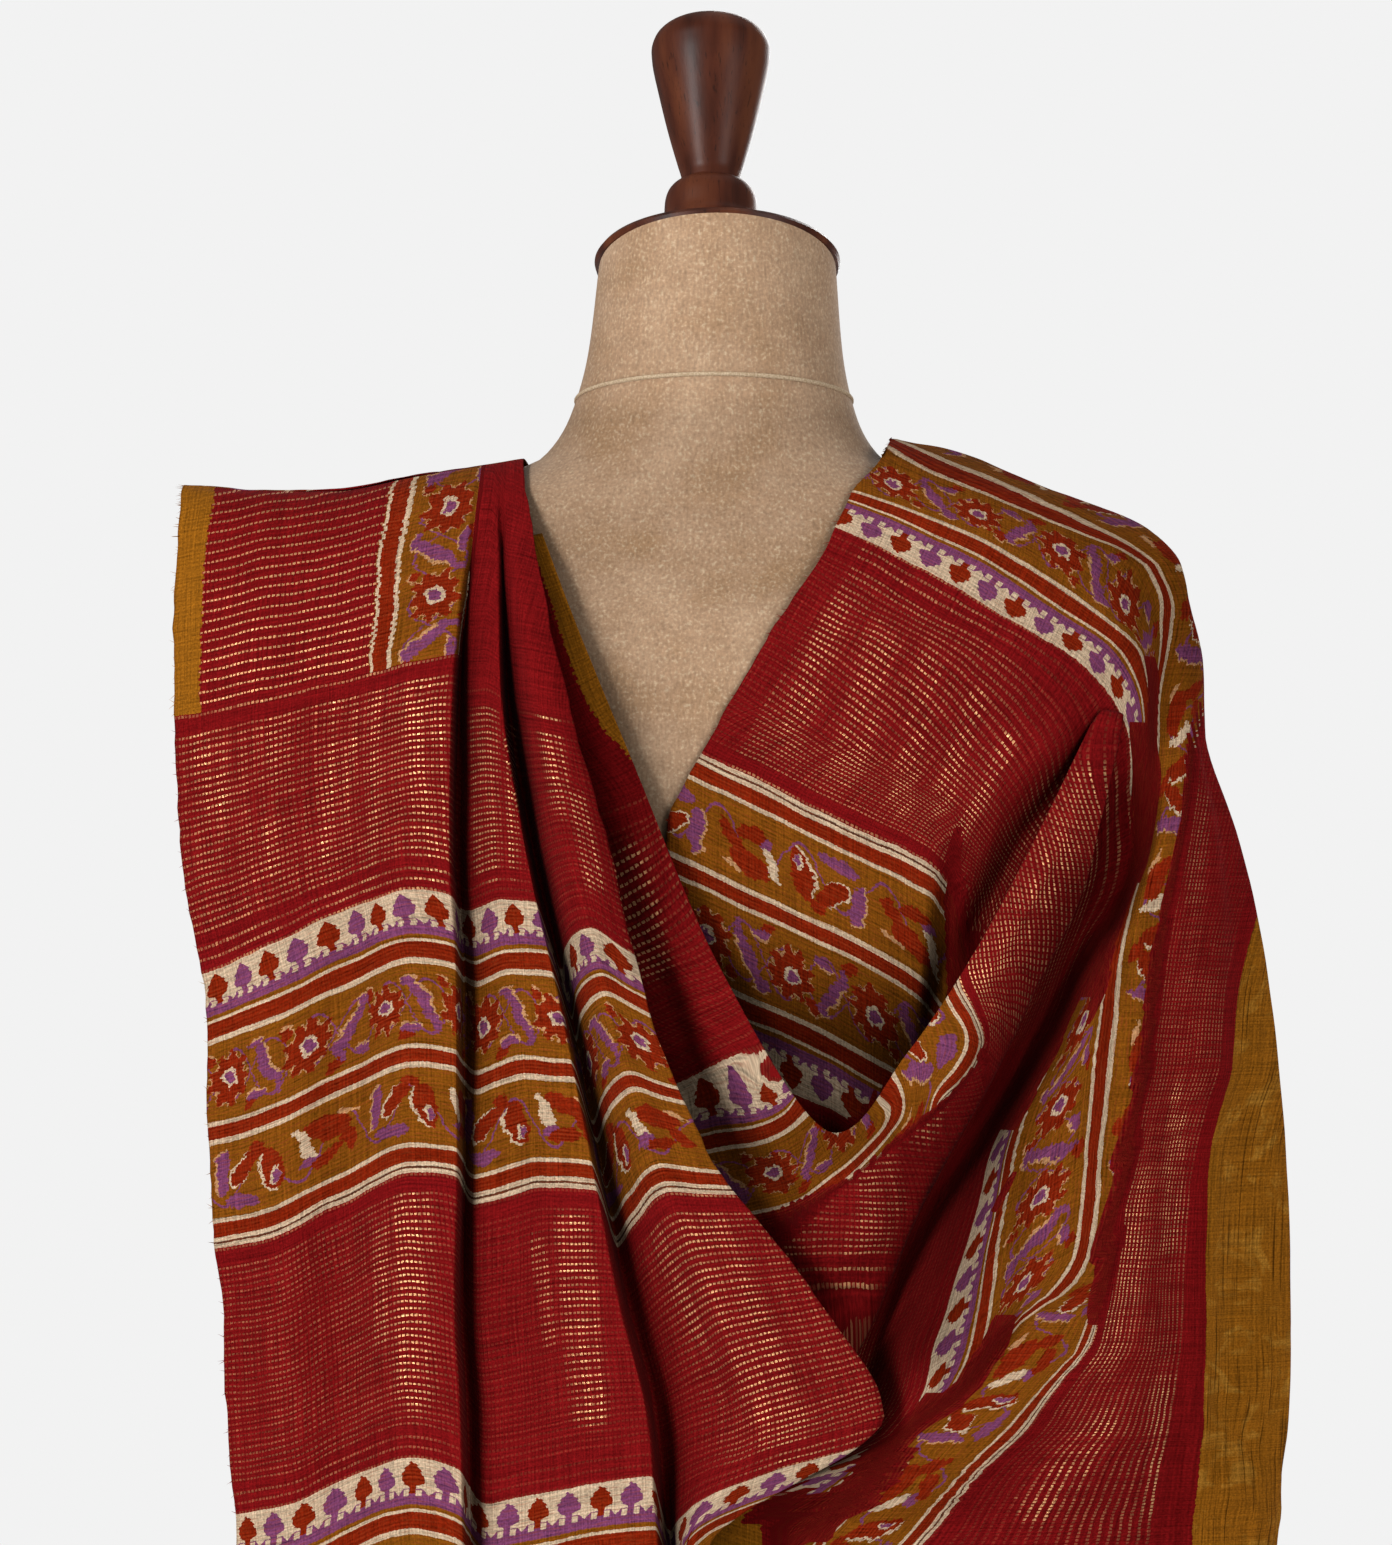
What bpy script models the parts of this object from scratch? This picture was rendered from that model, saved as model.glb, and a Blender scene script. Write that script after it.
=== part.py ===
"""A sari draped over a limbless dress form on a turned stand.

Metres, +Z up. The photographed back of the form looks along -Y, and the
origin is at the centre of the stand's underside. The tables are in
millimetres, and every sheet of cloth is a grid laid by a function of those
tables and then given its wall.
"""
import math

import bmesh
import bpy
from mathutils import Matrix, Vector

MM = 0.001

# Driving sizes, in millimetres
CLOTH_WALL = 1.6
SEAM_GAP = 0.3
NECK_TILT = 23.0
NECK_TOP_HEIGHT = 1447.0
NECK_TOP_Y = 4.0
NECK_CENTRE_X = 3.0
CAP_RADIUS = 56.0
CAP_THICK = 7.0
FORM_BOTTOM = 700.0
BOARD_THICK = 14.0
BASE_RADIUS = 165.0
BASE_THICK = 18.0
POLE_RADIUS = 14.0
HEM_HEIGHT = 30.0
DRAPE_Y = -10.0
LEFT_REACH = 290.0
FRONT_REACH = 215.0
FALL_FOOT = 598.0
FALL_HEM_RISE = 55.0
DRAPE_HEM_RISE = 80.0
FORM_SIDES = 28

# One row for each girth of the dress form
FORM_SECTIONS = [
    dict(name="bottom", z=700, half_width=156, half_depth=104, y=-4, tilt=0),
    dict(name="hip", z=800, half_width=166, half_depth=114, y=-6, tilt=0),
    dict(name="high hip", z=890, half_width=150, half_depth=104, y=-2, tilt=0),
    dict(name="waist", z=985, half_width=121, half_depth=87, y=2, tilt=0),
    dict(name="ribs", z=1080, half_width=136, half_depth=100, y=4, tilt=0),
    dict(name="chest", z=1170, half_width=154, half_depth=116, y=5, tilt=0),
    dict(name="armhole", z=1240, half_width=178, half_depth=108, y=-1, tilt=0),
    dict(name="shoulder end", z=1285, half_width=195, half_depth=90, y=-8, tilt=0),
    dict(name="shoulder top", z=1310, half_width=191, half_depth=73, y=-10, tilt=0),
    dict(name="slope low", z=1332, half_width=168, half_depth=62, y=-11, tilt=0),
    dict(name="slope mid", z=1344, half_width=132, half_depth=56, y=-12, tilt=0),
    dict(name="slope high", z=1352, half_width=100, half_depth=54, y=-11, tilt=0),
    dict(name="neck root", z=1361, half_width=77, half_depth=55, y=-8, tilt=3),
    dict(name="neck base", z=1380, half_width=65, half_depth=56, y=-4, tilt=9),
    dict(name="neck", z=1408, half_width=58, half_depth=56, y=0, tilt=16),
    dict(name="neck top", z=NECK_TOP_HEIGHT, half_width=54, half_depth=56, y=NECK_TOP_Y, tilt=NECK_TILT),
]

# The end stretch of the pallu, from the nape edge round the right side to the front
RIGHT_GIRTHS = [
    dict(z=1369.5, reach=85, left_reach=85, back=14, front=14, nape_edge=82, front_edge=80),
    dict(z=1366, reach=101, left_reach=96, back=34, front=34, nape_edge=80, front_edge=76),
    dict(z=1359, reach=122, left_reach=112, back=46, front=46, nape_edge=76, front_edge=70),
    dict(z=1348, reach=150, left_reach=150, back=57, front=57, nape_edge=66.5, front_edge=64),
    dict(z=1337, reach=179, left_reach=179, back=63, front=66, nape_edge=60, front_edge=60),
    dict(z=1325, reach=203, left_reach=203, back=69, front=74, nape_edge=54, front_edge=57),
    dict(z=1312, reach=214, left_reach=225, back=77, front=82, nape_edge=47, front_edge=55),
    dict(z=1293, reach=217.5, left_reach=250, back=87, front=96, nape_edge=35, front_edge=52),
    dict(z=1266, reach=222, left_reach=275, back=96, front=114, nape_edge=18, front_edge=50),
    dict(z=1238, reach=222, left_reach=290, back=101, front=128, nape_edge=2, front_edge=50),
    dict(z=1188, reach=234, left_reach=290, back=103, front=143, nape_edge=-20, front_edge=54),
    dict(z=1114, reach=246, left_reach=290, back=105, front=145, nape_edge=-16, front_edge=74),
    dict(z=1054, reach=251, left_reach=290, back=107, front=138, nape_edge=8, front_edge=96),
    dict(z=988, reach=253, left_reach=290, back=111, front=136, nape_edge=30, front_edge=120),
    dict(z=930, reach=254, left_reach=290, back=116, front=138, nape_edge=42, front_edge=138),
    dict(z=900, reach=253.5, left_reach=290, back=120, front=140, nape_edge=8, front_edge=146),
    dict(z=882, reach=253, left_reach=290, back=122, front=142, nape_edge=-20, front_edge=151),
    dict(z=840, reach=252, left_reach=290, back=128, front=146, nape_edge=-14, front_edge=160),
    dict(z=780, reach=250, left_reach=290, back=138, front=152, nape_edge=-8, front_edge=174),
    dict(z=690, reach=247, left_reach=290, back=150, front=160, nape_edge=0, front_edge=192),
    dict(z=600, reach=244, left_reach=290, back=158, front=168, nape_edge=10, front_edge=208),
]

# Heights of the drape's rows, top first
RIGHT_LEVELS = [1369.5, 1368, 1365, 1360, 1352, 1342, 1330, 1316, 1298, 1274, 1244, 1208, 1168, 1126,
                1084, 1042, 1000, 962, 930, 904, 880, 840, 780, 700, 610]

# The fold that opens the drape above the swag: its place, how far it stands out, and its inner wall
LIP_FOLD = [
    dict(z=1340, across=150, stand=0, wall=30),
    dict(z=1260, across=196, stand=2, wall=20),
    dict(z=1221, across=200, stand=9, wall=16),
    dict(z=1164, across=187, stand=19, wall=15),
    dict(z=1119, across=168, stand=25, wall=17),
    dict(z=1054, across=137, stand=31, wall=22),
    dict(z=1002, across=113, stand=34, wall=28),
    dict(z=946, across=94, stand=34, wall=28),
    dict(z=924, across=80, stand=32, wall=24),
    dict(z=900, across=31, stand=27, wall=14),
    dict(z=882, across=-9, stand=20, wall=6),
    dict(z=840, across=-4, stand=12, wall=6),
    dict(z=740, across=8, stand=8, wall=6),
    dict(z=600, across=20, stand=5, wall=6),
]

# Folds of the fall from the left shoulder, left to right, at named heights
FALL_HEIGHTS = dict(ridge=1352, yoke=1314, blade=1251, back=1179, ribs=1116,
                    high_waist=1048, waist=981, high_hip=929, hip=871, skirt=740, hem=600)
FALL_FOLDS = [
    dict(name="selvedge", ridge=-239, yoke=-242, blade=-242, back=-238, ribs=-227, high_waist=-226,
         waist=-220, high_hip=-217, hip=-213, skirt=-206, hem=-196, stand=0),
    dict(name="ripple one", ridge=-200, yoke=-204, blade=-206, back=-204, ribs=-197, high_waist=-197,
         waist=-192, high_hip=-189, hip=-186, skirt=-178, hem=-168, stand=5),
    dict(name="ripple two", ridge=-165, yoke=-171, blade=-175, back=-174, ribs=-169, high_waist=-170,
         waist=-168, high_hip=-166, hip=-162, skirt=-152, hem=-142, stand=1),
    dict(name="panel crest", ridge=-124, yoke=-130, blade=-135, back=-137, ribs=-136, high_waist=-137,
         waist=-138, high_hip=-136, hip=-134, skirt=-122, hem=-110, stand=16),
    dict(name="groove one", ridge=-103, yoke=-107, blade=-112, back=-112, ribs=-109, high_waist=-109,
         waist=-110, high_hip=-107, hip=-106, skirt=-92, hem=-78, stand=2),
    dict(name="pleat one", ridge=-99, yoke=-100, blade=-101, back=-94, ribs=-86, high_waist=-80,
         waist=-72, high_hip=-64, hip=-56, skirt=-42, hem=-28, stand=26),
    dict(name="groove two", ridge=-95, yoke=-94, blade=-91, back=-79, ribs=-64, high_waist=-51,
         waist=-37, high_hip=-24, hip=-18, skirt=0, hem=10, stand=13),
    dict(name="pleat two", ridge=-91, yoke=-88, blade=-78, back=-62, ribs=-46, high_waist=-24,
         waist=12, high_hip=34, hip=-10, skirt=12, hem=24, stand=41),
    dict(name="fold edge", ridge=-85, yoke=-79, blade=-66, back=-45, ribs=-30, high_waist=-3,
         waist=47, high_hip=76, hip=-1, skirt=24, hem=36, stand=35),
]

# How far each row of the fall hangs below its ridge
FALL_DROPS = [0, 1.5, 5, 11, 20, 34, 54, 82, 118, 160, 205, 250, 295, 340, 385, 425, 452, 480, 540, 620, 750]

# How far the fall stands behind its ridge, by its drop below the ridge
FALL_DEPTHS = [
    dict(drop=0, depth=0), dict(drop=2, depth=20), dict(drop=8, depth=38), dict(drop=18, depth=54),
    dict(drop=35, depth=70), dict(drop=60, depth=86), dict(drop=90, depth=97), dict(drop=130, depth=104),
    dict(drop=180, depth=107), dict(drop=300, depth=109), dict(drop=400, depth=115),
    dict(drop=480, depth=124), dict(drop=600, depth=144), dict(drop=760, depth=162),
]
FALL_RIDGE = [
    dict(x=-239, z=1349), dict(x=-205, z=1346), dict(x=-172, z=1346), dict(x=-140, z=1352),
    dict(x=-110, z=1356.5), dict(x=-86, z=1360),
]

# Ribs of the swag between the shoulders: one row for each fold, one pair for each place along it
SWAG_FOLDS = [
    dict(name="open edge", across=[-76, -61, -32, 4, 55, 87, 119, 140, 169],
         height=[1326, 1286, 1215, 1131, 1058, 1093, 1140, 1179, 1238],
         stand=[4, 9, 12, 16, 29, 29, 22, 14, 3]),
    dict(name="crest", across=[-81, -68, -42, -9, 54, 99, 132, 157, 173],
         height=[1325, 1278, 1206, 1122, 1030, 1075, 1139, 1183, 1240],
         stand=[4, 8, 12, 17, 31, 33, 29, 22, 5]),
    dict(name="roll edge", across=[-86, -74, -51, -19, 56, 108, 146, 168, 177],
         height=[1324, 1268, 1197, 1111, 994, 1057, 1124, 1170, 1240],
         stand=[4, 7, 10, 11, 19, 21, 20, 16, 5]),
    dict(name="tucked edge", across=[-91, -80, -59, -27, 50, 95, 137, 163, 179],
         height=[1323, 1260, 1183, 1089, 948, 1026, 1112, 1164, 1234],
         stand=[4, 6, 8, 8, 8, 8, 7, 6, 3]),
]

# The stretch across the front, from the left shoulder to the right hip
FRONT_BAND = [
    dict(along=0.0, inner_x=-86, inner_z=1365, outer_x=-239, outer_z=1349),
    dict(along=0.1, inner_x=-78, inner_z=1340, outer_x=-238, outer_z=1322),
    dict(along=0.25, inner_x=-52, inner_z=1270, outer_x=-232, outer_z=1230),
    dict(along=0.45, inner_x=-2, inner_z=1176, outer_x=-212, outer_z=1070),
    dict(along=0.65, inner_x=60, inner_z=1100, outer_x=-128, outer_z=918),
    dict(along=0.85, inner_x=124, inner_z=1046, outer_x=20, outer_z=838),
    dict(along=1.0, inner_x=158, inner_z=1022, outer_x=120, outer_z=826),
]
FRONT_DEPTHS = [
    dict(z=1365, depth=0), dict(z=1362, depth=22), dict(z=1355, depth=40), dict(z=1345, depth=56),
    dict(z=1325, depth=76), dict(z=1300, depth=92), dict(z=1260, depth=112), dict(z=1210, depth=127),
    dict(z=1170, depth=132), dict(z=1100, depth=127), dict(z=1000, depth=122), dict(z=900, depth=136),
    dict(z=820, depth=150),
]

# Girths of the skirt
SKIRT_GIRTHS = [
    dict(z=1004, half_width=124.5, half_depth=90.5, y=2, wave=0),
    dict(z=985, half_width=124, half_depth=90, y=2, wave=0.3),
    dict(z=940, half_width=139, half_depth=99, y=0, wave=0.6),
    dict(z=890, half_width=155, half_depth=109, y=-2, wave=0.8),
    dict(z=800, half_width=172, half_depth=120, y=-5, wave=1),
    dict(z=650, half_width=186, half_depth=134, y=-3, wave=2.5),
    dict(z=450, half_width=206, half_depth=156, y=0, wave=4),
    dict(z=240, half_width=226, half_depth=178, y=2, wave=5),
    dict(z=HEM_HEIGHT, half_width=244, half_depth=198, y=4, wave=6),
]
SKIRT_FOLDS = 12
SKIRT_LEVELS = [1004, 985, 950, 915, 880, 840, 790, 700, 540, 300, HEM_HEIGHT]

# The tucked pleats at the centre front
PLEAT_COUNT = 6
PLEAT_ROWS = [
    dict(z=990, left=-62, right=46, stand=2.8, wave=2.4),
    dict(z=900, left=-70, right=52, stand=7, wave=4),
    dict(z=780, left=-84, right=66, stand=9, wave=6),
    dict(z=560, left=-112, right=92, stand=17, wave=9),
    dict(z=300, left=-142, right=122, stand=25, wave=12),
    dict(z=HEM_HEIGHT, left=-168, right=148, stand=31, wave=15),
]

# Turned profiles, radius and height from the neck cap upward, top first
FINIAL_PROFILE = [
    (0.0, 117.5), (8.2, 117.2), (15.4, 116.0), (21.5, 113.2), (25.8, 108.4), (27.2, 103.0),
    (26.8, 97.0), (23.3, 79.0), (19.0, 60.0), (15.3, 46.0), (13.5, 39.0), (13.5, 35.6),
    (16.8, 34.0), (19.8, 30.4), (21.0, 25.6), (21.4, 18.0), (22.9, 12.5), (22.9, 0.0), (0.0, 0.0),
]
BASE_PROFILE = [
    (0.0, 52.0), (20.0, 52.0), (23.0, 49.0), (24.0, 40.0), (30.0, 30.0), (60.0, 23.0),
    (BASE_RADIUS - 6.0, BASE_THICK), (BASE_RADIUS, BASE_THICK - 5.0), (BASE_RADIUS, 0.0), (0.0, 0.0),
]


def column(rows, name):
    return [row[name] for row in rows]


def eased(keys, values, at):
    """Read a smooth curve through (key, value) pairs that never overshoots a pair."""
    if keys[0] > keys[-1]:
        keys = keys[::-1]
        values = values[::-1]
    if at <= keys[0]:
        return values[0]
    if at >= keys[-1]:
        return values[-1]
    last = len(keys) - 1
    slopes = [(values[i + 1] - values[i]) / (keys[i + 1] - keys[i]) for i in range(last)]
    tangents = [slopes[0]]
    for i in range(1, last):
        before, after = slopes[i - 1], slopes[i]
        tangents.append(0.0 if before * after <= 0.0 else 2.0 * before * after / (before + after))
    tangents.append(slopes[-1])
    i = max(k for k in range(last) if keys[k] <= at)
    span = keys[i + 1] - keys[i]
    t = (at - keys[i]) / span
    start = (1.0 + 2.0 * t) * (1.0 - t) ** 2 * values[i] + t * (1.0 - t) ** 2 * span * tangents[i]
    end = t * t * (3.0 - 2.0 * t) * values[i + 1] - t * t * (1.0 - t) * span * tangents[i + 1]
    return start + end


def read(rows, key, name, at):
    return eased(column(rows, key), column(rows, name), at)


def step_along(values, v):
    """Read a list that is written from the top (v = 1) down to the foot (v = 0)."""
    last = len(values) - 1
    return eased(list(range(last + 1)), values, (1.0 - v) * last)


def bow(across, reach):
    """How much of its full depth a girth still has at a distance across it."""
    share = min(abs(across) / reach, 1.0)
    return math.sqrt(1.0 - share * share)


def make_collection(name):
    collection = bpy.data.collections.new(name)
    bpy.context.scene.collection.children.link(collection)
    return collection


def make_material(name, colour, roughness, metallic=0.0):
    material = bpy.data.materials.new(name)
    material.use_nodes = True
    shader = material.node_tree.nodes["Principled BSDF"]
    shader.inputs["Base Color"].default_value = (*colour, 1.0)
    shader.inputs["Roughness"].default_value = roughness
    shader.inputs["Metallic"].default_value = metallic
    return material


def add_object(name, mesh, collection, material):
    thing = bpy.data.objects.new(name, mesh)
    collection.objects.link(thing)
    mesh.materials.append(material)
    mesh.shade_smooth()
    mesh.set_sharp_from_angle(angle=math.radians(40.0))
    return thing


def add_sheet(name, columns, rows, place, collection, material, closed=False, wall=CLOTH_WALL):
    """Lay a grid by place(u, v), u along the width and v upwards, and give it its wall."""
    shape = bmesh.new()
    bmesh.ops.create_grid(shape, x_segments=columns, y_segments=rows, size=1.0)
    for vert in shape.verts:
        u = round((vert.co.x + 1.0) / 2.0 * columns) / columns
        v = round((vert.co.y + 1.0) / 2.0 * rows) / rows
        vert.co = Vector(place(u, v)) * MM
    if closed:
        bmesh.ops.remove_doubles(shape, verts=shape.verts, dist=0.0001)
    mesh = bpy.data.meshes.new(name)
    shape.to_mesh(mesh)
    shape.free()
    thing = add_object(name, mesh, collection, material)
    thick = thing.modifiers.new("wall", "SOLIDIFY")
    thick.thickness = wall * MM
    thick.offset = 0.0
    thick.use_even_offset = False
    return thing


def add_turned(name, profile, collection, material, steps=40):
    shape = bmesh.new()
    verts = [shape.verts.new((radius * MM, 0.0, height * MM)) for radius, height in profile]
    for first, second in zip(verts, verts[1:]):
        shape.edges.new((first, second))
    mesh = bpy.data.meshes.new(name)
    shape.to_mesh(mesh)
    shape.free()
    thing = add_object(name, mesh, collection, material)
    screw = thing.modifiers.new("turn", "SCREW")
    screw.steps = steps
    screw.render_steps = steps
    screw.use_merge_vertices = True
    screw.merge_threshold = 0.00005
    screw.use_smooth_shade = True
    return thing


def form_ring(row, count):
    """One girth of the form, flatter across the back than an ellipse and tilted at the neck."""
    ring = []
    centre = NECK_CENTRE_X if row["tilt"] else 0.0
    for i in range(count):
        turn = 2.0 * math.pi * i / count
        x = row["half_width"] * math.sin(turn)
        y = -row["half_depth"] * math.cos(turn)
        rise = -y * math.tan(math.radians(row["tilt"]))
        ring.append(Vector((x + centre * row["tilt"] / NECK_TILT, y + row["y"], row["z"] + rise)))
    return ring


def add_loft(name, rings, collection, material):
    """Join unlike rings into one closed body with flat ends."""
    shape = bmesh.new()
    loops = [[shape.verts.new(point * MM) for point in ring] for ring in rings]
    count = len(loops[0])
    for low, high in zip(loops, loops[1:]):
        for i in range(count):
            after = (i + 1) % count
            shape.faces.new((low[i], low[after], high[after], high[i]))
    shape.faces.new(loops[0][::-1])
    shape.faces.new(loops[-1])
    bmesh.ops.recalc_face_normals(shape, faces=shape.faces)
    mesh = bpy.data.meshes.new(name)
    shape.to_mesh(mesh)
    shape.free()
    return add_object(name, mesh, collection, material)


def build_form(collection, cloth, wood):
    heights = column(FORM_SECTIONS, "z")
    rings = []
    for low, high in zip(FORM_SECTIONS, FORM_SECTIONS[1:]):
        parts = 3 if high["z"] - low["z"] > 50 else 1
        for step in range(parts):
            at = low["z"] + (high["z"] - low["z"]) * step / parts
            names = ("half_width", "half_depth", "y", "tilt")
            row = {key: eased(heights, column(FORM_SECTIONS, key), at) for key in names}
            row["z"] = at
            rings.append(form_ring(row, FORM_SIDES))
    rings.append(form_ring(FORM_SECTIONS[-1], FORM_SIDES))
    add_loft("form_torso", rings, collection, cloth)

    board = dict(FORM_SECTIONS[0])
    lower = dict(board, z=FORM_BOTTOM - SEAM_GAP - BOARD_THICK)
    upper = dict(board, z=FORM_BOTTOM - SEAM_GAP)
    slab = [form_ring(lower, FORM_SIDES), form_ring(upper, FORM_SIDES)]
    add_loft("form_bottom_board", slab, collection, wood)

    tilt = Matrix.Rotation(math.radians(-NECK_TILT), 4, "X")
    top = Vector((NECK_CENTRE_X, NECK_TOP_Y, NECK_TOP_HEIGHT)) * MM
    cap_profile = [
        (0.0, CAP_THICK), (CAP_RADIUS - 5.0, CAP_THICK), (CAP_RADIUS - 1.5, CAP_THICK - 1.5),
        (CAP_RADIUS, CAP_THICK / 2.0), (CAP_RADIUS - 0.8, 0.8), (CAP_RADIUS - 2.5, 0.0), (0.0, 0.0),
    ]
    lift = tilt @ Vector((0.0, 0.0, SEAM_GAP * MM))
    cap = add_turned("neck_cap", cap_profile, collection, wood, 32)
    cap.matrix_world = Matrix.Translation(top + lift) @ tilt
    finial = add_turned("neck_finial", FINIAL_PROFILE, collection, wood, 24)
    lift = tilt @ Vector((-NECK_CENTRE_X * MM, 0.0, (CAP_THICK + 2.0 * SEAM_GAP) * MM))
    finial.matrix_world = Matrix.Translation(top + lift) @ tilt


def build_stand(collection, wood, metal):
    add_turned("stand_base", BASE_PROFILE, collection, wood, 36)
    foot = BASE_PROFILE[0][1] + SEAM_GAP
    head = FORM_BOTTOM - BOARD_THICK - 2.0 * SEAM_GAP
    pole = [
        (0.0, head), (32.0, head), (32.0, head - 6.0), (POLE_RADIUS, head - 12.0),
        (POLE_RADIUS, foot), (0.0, foot),
    ]
    add_turned("stand_pole", pole, collection, metal, 24)


def back_depth(across, height):
    """Distance behind the drape line of the cloth that lies nearest the back."""
    reach = read(RIGHT_GIRTHS, "z", "reach" if across > 0.0 else "left_reach", height)
    return read(RIGHT_GIRTHS, "z", "back", height) * bow(across, reach)


def right_drape_point(u, v):
    """The pallu's end stretch: a part-girth at each height, from the nape edge to the front edge."""
    level = step_along(RIGHT_LEVELS, v)
    reach = read(RIGHT_GIRTHS, "z", "reach", level)
    back = read(RIGHT_GIRTHS, "z", "back", level)
    front = read(RIGHT_GIRTHS, "z", "front", level)
    nape = math.asin(read(RIGHT_GIRTHS, "z", "nape_edge", level) / reach)
    open_end = math.pi - math.asin(read(RIGHT_GIRTHS, "z", "front_edge", level) / reach)
    lip_x = min(read(LIP_FOLD, "z", "across", level), 0.9 * reach)
    stand = read(LIP_FOLD, "z", "stand", level)
    lip = max(math.asin(lip_x / reach), nape + 0.04)
    wall = read(LIP_FOLD, "z", "wall", level)
    trough = max(math.asin((lip_x - wall) / reach), nape + 0.02)
    side = math.pi / 2.0
    marks = [
        (0.0, nape, 0.0), (0.25, nape + (trough - nape) * 0.6, 0.0), (0.36, trough, 0.0),
        (0.44, lip, stand), (0.52, lip + (side - lip) * 0.35, stand * 0.85),
        (0.6, lip + (side - lip) * 0.62, stand * 0.35), (0.67, lip + (side - lip) * 0.84, stand * 0.4),
        (0.75, side, stand * 0.12), (0.83, side + (open_end - side) * 0.3, stand * 0.3),
        (0.92, side + (open_end - side) * 0.68, 0.0), (1.0, open_end, stand * 0.25),
    ]
    places = [mark[0] for mark in marks]
    turn = eased(places, [mark[1] for mark in marks], u)
    out = eased(places, [mark[2] for mark in marks], u)
    depth = back if turn < side else front
    x = reach * math.sin(turn)
    y = DRAPE_Y - depth * math.cos(turn)
    normal = Vector((math.sin(turn) / reach, -math.cos(turn) / max(depth, 30.0), 0.0)).normalized()
    low = max(0.0, (800.0 - level) / 190.0)
    return (x + normal.x * out, y + normal.y * out, level + DRAPE_HEM_RISE * low * low * u ** 1.5)


def fall_point(u, v):
    """The fall from the left shoulder: folds side by side, each hung from the ridge."""
    drop = step_along(FALL_DROPS, v)
    heights = list(FALL_HEIGHTS.values())
    level = FALL_HEIGHTS["ridge"] - drop
    count = len(FALL_FOLDS) - 1
    xs = [eased(heights, [fold[name] for name in FALL_HEIGHTS], level) for fold in FALL_FOLDS]
    steps = list(range(count + 1))
    x = eased(steps, xs, u * count)
    grown = min(drop / 120.0, 1.0)
    fullness = grown * grown * (3.0 - 2.0 * grown)
    stand = eased(steps, column(FALL_FOLDS, "stand"), u * count) * fullness
    depth = read(FALL_DEPTHS, "drop", "depth", drop)
    ridge = read(FALL_RIDGE, "x", "z", x)
    y = DRAPE_Y - depth * bow(x, LEFT_REACH) - stand - 2.0 * min(drop / 10.0, 1.0)
    low = max(0.0, (drop - 580.0) / 170.0)
    z = ridge - drop * (ridge - FALL_FOOT) / (FALL_HEIGHTS["ridge"] - FALL_FOOT)
    return (x, y, z + FALL_HEM_RISE * low * low * (1.0 - u))


def swag_point(u, v):
    """The swag between the shoulders: a rib for each fold, read across and along."""
    ribs = len(SWAG_FOLDS) - 1
    places = len(SWAG_FOLDS[0]["across"]) - 1

    def along(name):
        values = [eased(list(range(places + 1)), rib[name], u * places) for rib in SWAG_FOLDS]
        return eased(list(range(ribs + 1)), values, (1.0 - v) * ribs)

    x = along("across")
    z = along("height")
    y = DRAPE_Y - back_depth(x, z) - along("stand")
    return (x, y, z)


def front_point(u, v):
    """The stretch across the front: along it from the ridge, and across it from edge to edge."""
    along = 1.0 - v
    inner_x = read(FRONT_BAND, "along", "inner_x", along)
    inner_z = read(FRONT_BAND, "along", "inner_z", along)
    outer_x = read(FRONT_BAND, "along", "outer_x", along)
    outer_z = read(FRONT_BAND, "along", "outer_z", along)
    x = inner_x + (outer_x - inner_x) * u
    z = inner_z + (outer_z - inner_z) * u
    ridge = read(FALL_RIDGE, "x", "z", max(min(x, -86.0), -239.0))
    if along < 0.1:
        z = ridge - (ridge - z) * (along / 0.1)
    reach = LEFT_REACH if x < 0.0 else FRONT_REACH
    depth = read(FRONT_DEPTHS, "z", "depth", z + (1365.0 - ridge) * max(0.0, 1.0 - along * 4.0))
    wave = 6.0 * math.sin(u * math.pi * 5.0) * math.sin(min(along * 1.6, 1.0) * math.pi / 2.0)
    y = DRAPE_Y + 3.0 * SEAM_GAP + depth * bow(x, reach) + wave * (0.4 + 0.6 * along)
    return (x, y, z)


def skirt_point(u, v):
    level = step_along(SKIRT_LEVELS, v)
    turn = 2.0 * math.pi * u
    wave = read(SKIRT_GIRTHS, "z", "wave", level)
    ripple = wave * (math.cos(SKIRT_FOLDS * turn + 0.6 * math.sin(turn)) - 0.2 * math.cos(3.0 * turn))
    half_width = read(SKIRT_GIRTHS, "z", "half_width", level) + ripple
    half_depth = read(SKIRT_GIRTHS, "z", "half_depth", level) + ripple
    centre = read(SKIRT_GIRTHS, "z", "y", level)
    return (half_width * math.sin(turn), centre - half_depth * math.cos(turn), level)


def pleats_point(u, v):
    top = PLEAT_ROWS[0]["z"]
    level = HEM_HEIGHT + (top - HEM_HEIGHT) * v
    left = read(PLEAT_ROWS, "z", "left", level)
    right = read(PLEAT_ROWS, "z", "right", level)
    x = right + (left - right) * u
    half_width = read(SKIRT_GIRTHS, "z", "half_width", level)
    half_depth = read(SKIRT_GIRTHS, "z", "half_depth", level)
    centre = read(SKIRT_GIRTHS, "z", "y", level)
    wave = read(PLEAT_ROWS, "z", "wave", level)
    stand = read(PLEAT_ROWS, "z", "stand", level)
    crest = (1.0 - math.cos(2.0 * math.pi * PLEAT_COUNT * u)) / 2.0
    y = centre + half_depth * bow(x, half_width) + stand + wave * crest
    return (x, y, level)


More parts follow.
